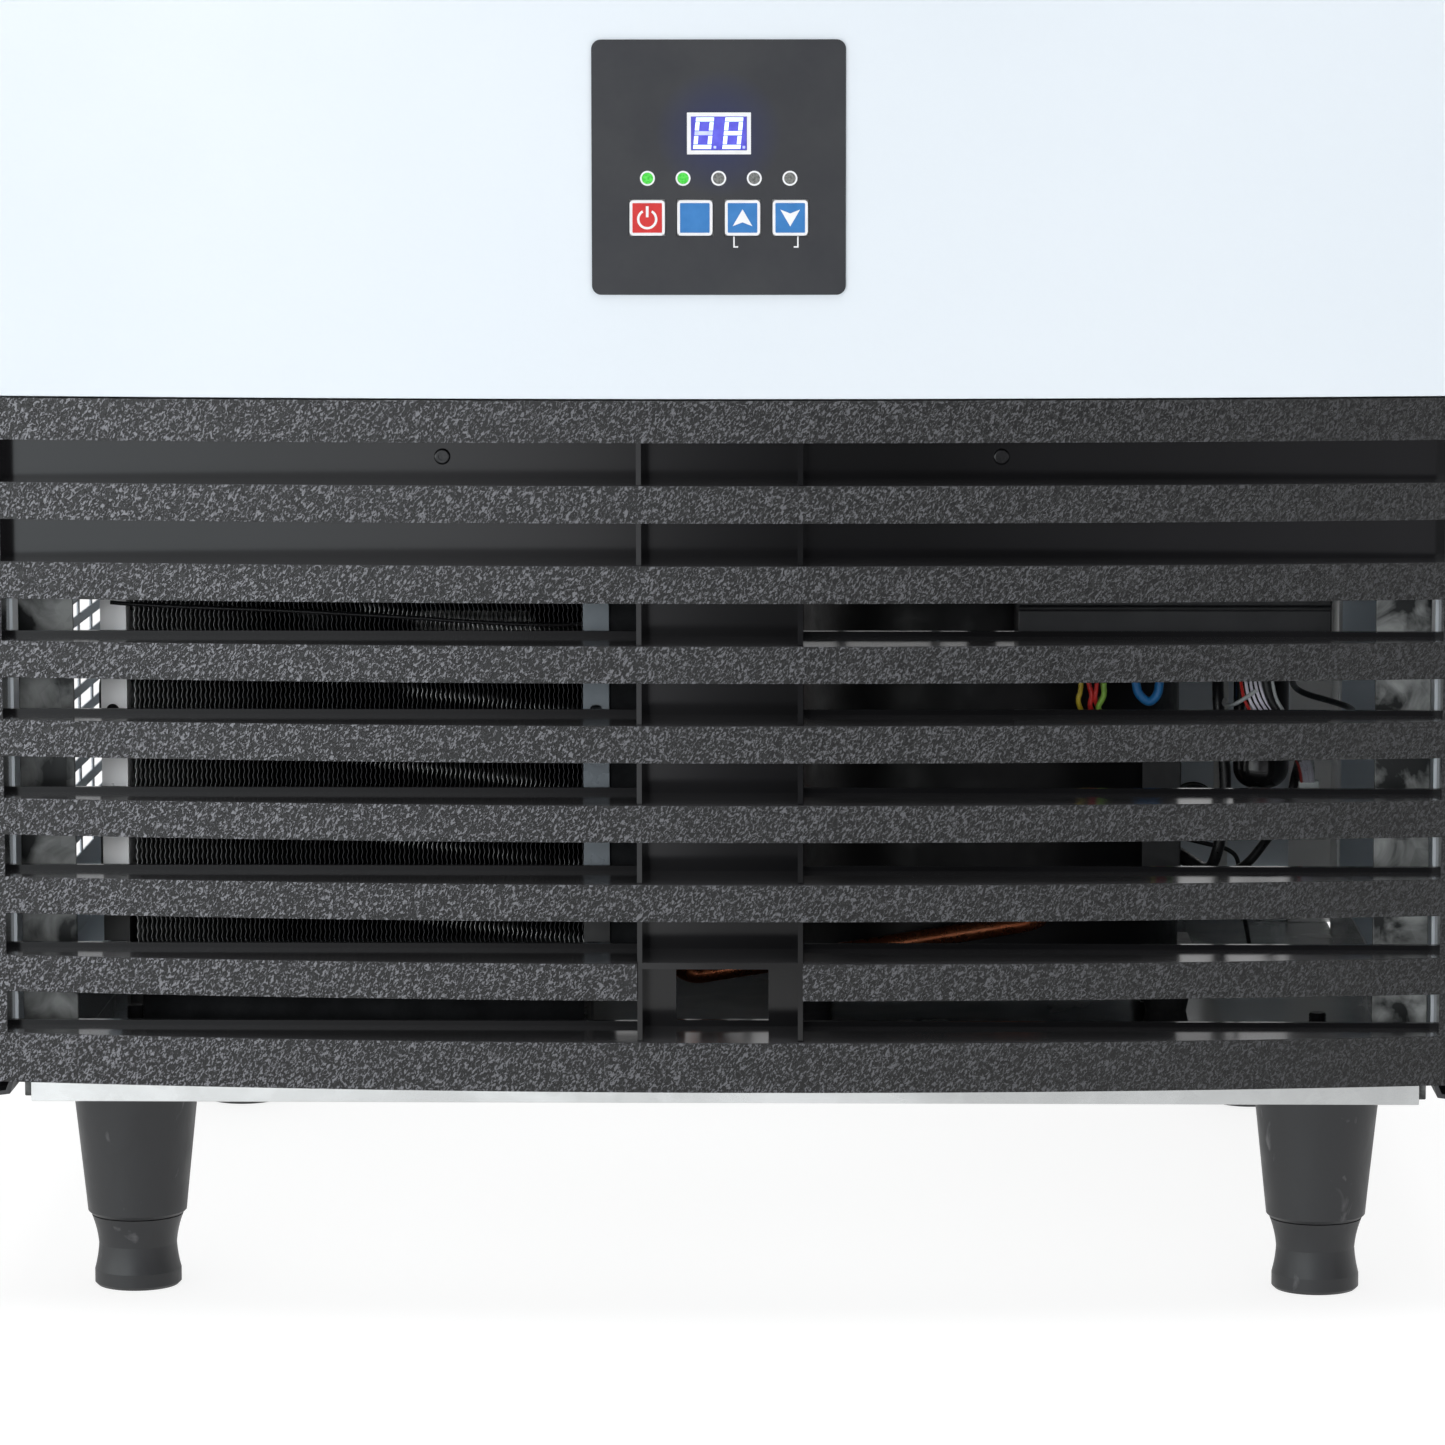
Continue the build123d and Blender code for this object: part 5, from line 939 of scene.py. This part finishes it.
# The water parts: white inlet valve, ribbed drain, gland, and in the bin the trough, the pump, the
# nickel-plated mould with its coil, the drilled tube and the clear curtain in front of it.
valve_white = plain_finish("valve_white", (shade(214, 216, 214), shade(230, 232, 230)), (0.35, 0.5),
                           [(500, 0.00005)], patch=60)
dress("water_valve", valve_white)
dress("drain_hose", valve_white)
dress("cord_gland", trim_black)
nickel = plain_finish("nickel", (shade(176, 178, 178), shade(206, 208, 208)), (0.22, 0.4),
                      [(300, 0.00006)], metallic=0.95, patch=30)
dress("evaporator", nickel)
dress("evaporator_coil", copper)
for node in ("water_distributor", "water_trough", "water_pump", "pump_hose", "bin_light", "bin_probe"):
    dress(node, bin_plastic)
curtain_clear = plain_finish("curtain_clear", (shade(214, 226, 232), shade(228, 238, 243)), (0.2, 0.35),
                             [(60, 0.0002)], patch=12)
dress("splash_curtain", curtain_clear)

# The leads: flexible leads and tubes that hang from the electric box, bend back to the terminal cover
# and run to the gland, with a flat bunch of thin pale leads in a tie that ends in a white connector.


def lead(name, route, radius, finish, nodes=()):
    """A flexible lead of that radius along a smooth line by the points of its route."""
    line = bpy.data.curves.new(name, "CURVE")
    line.dimensions = "3D"
    line.bevel_depth = radius * MM
    line.bevel_resolution = 3
    line.resolution_u = 8
    line.use_fill_caps = True
    run = line.splines.new("NURBS")
    run.points.add(len(route) - 1)
    for point, (x, y, z) in zip(run.points, route):
        point.co = (x * MM, y * MM, z * MM, 1)
    run.order_u = 3
    run.use_endpoint_u = True
    line.materials.append(finish)
    piece = bpy.data.objects.new(name, line)
    bpy.context.scene.collection.objects.link(piece)
    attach(piece, "cabinet")
    if nodes:
        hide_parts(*nodes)


def lead_finish(name, low, high):
    """The shiny vinyl skin of a lead."""
    return plain_finish(name, (shade(*low), shade(*high)), (0.25, 0.4), [(900, 0.00003)], patch=90)


lead_black = lead_finish("lead_black", (14, 14, 15), (26, 26, 28))
lead_yellow = lead_finish("lead_yellow", (166, 146, 38), (184, 164, 54))
lead_red = lead_finish("lead_red", (168, 32, 30), (190, 46, 42))
lead_lime = lead_finish("lead_lime", (112, 160, 50), (132, 178, 70))
lead_blue = lead_finish("lead_blue", (30, 100, 160), (44, 118, 178))
lead_pale = lead_finish("lead_pale", (206, 204, 222), (226, 225, 236))
lead_grey = lead_finish("lead_grey", (150, 156, 158), (176, 182, 184))
lead("lead_mains", [(206, 222, 140), (206, 204, 140), (224, 76, 165), (219, -10, 177), (209.4, -24, 181.5),
                    (199.6, -30, 184.6), (195, -34, 188), (193, -60, 196), (192, -84, 206)],
     1.1, lead_black, ["wiring_harness"])
lead("lead_start", [(118.5, -94, 206), (120.1, -94, 194.7), (117.4, -94, 187.5), (128, -86, 177),
                    (142, -66, 173), (147, -46, 172), (147, -42, 160)], 0.9, lead_yellow)
lead("lead_run", [(121, -94, 206), (121.8, -94, 194.7), (123.4, -94, 191.3), (121.8, -94, 186.5),
                  (131, -84, 177), (144, -64, 174), (149, -45, 172), (149, -41, 160)], 0.9, lead_red)
lead("lead_overload", [(125.5, -95, 206), (124.8, -95, 194.7), (123.6, -95, 188), (133, -84, 178),
                       (146, -62, 174), (151, -45, 171), (151, -41, 160)], 0.8, lead_red)
lead("lead_earth", [(127.5, -96, 206), (126.8, -96, 195), (127.4, -96, 191.3), (124, -96, 186),
                    (134, -86, 177), (148, -62, 173), (153, -45, 171), (153, -41, 160)], 1.0, lead_lime)
lead("lead_loop", [(137.8, -84, 206), (138.1, -84, 193), (140.2, -84, 189.4), (142.9, -84, 187.6),
                   (145.3, -84, 189.4), (146.6, -84, 193), (147, -84, 206)], 1.6, lead_blue)
lead("vent_tube", [(166.5, -82, 206), (166.7, -74, 193), (167.5, -74, 180), (169.9, -74, 162),
                   (169.5, -74, 148), (167.6, -74, 136), (165, -70, 128), (162, -52, 127), (154, -38, 131)],
     2.0, lead_black)
lead("lead_fan", [(179.5, -118, 206), (180.3, -118, 195.1), (185.4, -118, 187), (192, -110, 176),
                  (194, -88, 168), (193.8, -75, 163), (191.5, -74, 150), (184.5, -66, 138),
                  (177, -63, 127.5), (168, -52, 124), (154, -36, 128)], 1.6, lead_black)
for strand in range(5):
    lead("pale_lead_%d" % (strand + 1),
         [(171.8 + 1.5 * strand, -112, 206), (171.8 + 1.55 * strand, -117.5, 195.7),
          (175.3 + 2.0 * strand, -117.5, 187.5), (187 + 1.3 * strand, -112, 176),
          (194 + strand, -90, 168), (195.6 + strand, -76, 159)], 0.55,
         lead_red if strand == 0 else lead_pale)
lead("sensor_lead", [(182, -119, 206), (182.1, -119, 195.1), (187.4, -119, 186.9), (194, -108, 176),
                     (199, -88, 168), (199.4, -76, 159)], 0.6, lead_grey)
lead("bunch_tie", [(177, -117.5, 195.5), (173.6, -119.4, 193.2), (169, -118, 190.4), (166.5, -106, 189.4),
                   (168, -96, 190)], 0.7, lead_grey)
lead("cover_lead", [(154, -24, 134), (166, -24, 131), (173.5, -24, 129.4), (177.6, -24, 126),
                    (177.6, -22, 118), (181, -12, 100), (184, -6, 86)], 0.8, lead_black)
lead("condenser_probe_lead", [(-206, -125.2, 225.5), (-192.6, -126, 224.4), (-132.4, -126, 222.4),
                              (-55.6, -126, 217.1), (-38, -118, 220), (-8, -98, 240), (40, -96, 250),
                              (98, -100, 252)], 0.7, lead_black)

connector_white = plain_finish("connector_white", (shade(188, 198, 198), shade(206, 214, 214)), (0.35, 0.5),
                               [(700, 0.00004)], patch=90)
shape = bmesh.new()
block_size = Matrix.Diagonal((7 * MM, 5 * MM, 5.2 * MM, 1))
block_place = Matrix.Translation((198 * MM, -75 * MM, 157.4 * MM)) @ block_size
bmesh.ops.create_cube(shape, size=1, matrix=block_place)
bmesh.ops.bevel(shape, geom=shape.edges[:], offset=0.5 * MM, affect="EDGES", segments=2, profile=0.5,
                material=-1)
add_piece("lead_connector", shape, connector_white, "cabinet")

# Small steel screws and bolts: the rear panel's pan heads, and the threaded ends of the two bolts that
# hold the front legs, which stand up through the pan behind the grille.


def pan_head(shape, place, way, radius, height):
    """A pan-head screw whose top faces the given way, with a driver recess."""
    turned = Vector(way).to_track_quat("Z", "Y").to_matrix().to_4x4()
    lift = Matrix.Translation(Vector(place) * MM) @ turned @ Matrix.Translation((0, 0, height * MM / 2))
    before = set(shape.faces)
    bmesh.ops.create_cone(shape, cap_ends=True, segments=24, radius1=radius * MM, radius2=radius * MM,
                          depth=height * MM, matrix=lift)
    top = max((face for face in shape.faces if face not in before),
              key=lambda face: face.normal.dot(Vector(way)))
    bmesh.ops.bevel(shape, geom=list(top.edges), offset=0.45 * height * MM, affect="EDGES", segments=3,
                    profile=0.5, material=-1)
    top = max((face for face in shape.faces if face not in before),
              key=lambda face: (round(face.normal.dot(Vector(way)), 4), face.calc_area()))
    bmesh.ops.inset_region(shape, faces=[top], thickness=0.5 * radius * MM)
    bmesh.ops.translate(shape, verts=list(top.verts), vec=Vector(way) * (-0.45 * height * MM))


screw_zinc = plain_finish("screw_zinc", (shade(150, 152, 152), shade(190, 192, 190)), (0.22, 0.36),
                          [(800, 0.00003)], metallic=0.9, patch=200)
shape = bmesh.new()
for x in (-241, 241):
    for z in (100, 290, 520, 760):
        pan_head(shape, (x, 225.9, z), (0, 1, 0), 3.4, 1.8)
add_piece("rear_panel_screws", shape, screw_zinc, "cabinet")
shape = bmesh.new()
for x, top in ((-196, 94), (196, 92.4)):
    for turn in range(round(top - 67.4)):
        thread = Matrix.Translation((x * MM, -153 * MM, (top - 0.5 - turn) * MM))
        bmesh.ops.create_cone(shape, cap_ends=True, segments=20, radius1=3 * MM, radius2=2.5 * MM,
                              depth=1 * MM, matrix=thread)
add_piece("leg_bolt_ends", shape, black_screw, "cabinet", crease=20)
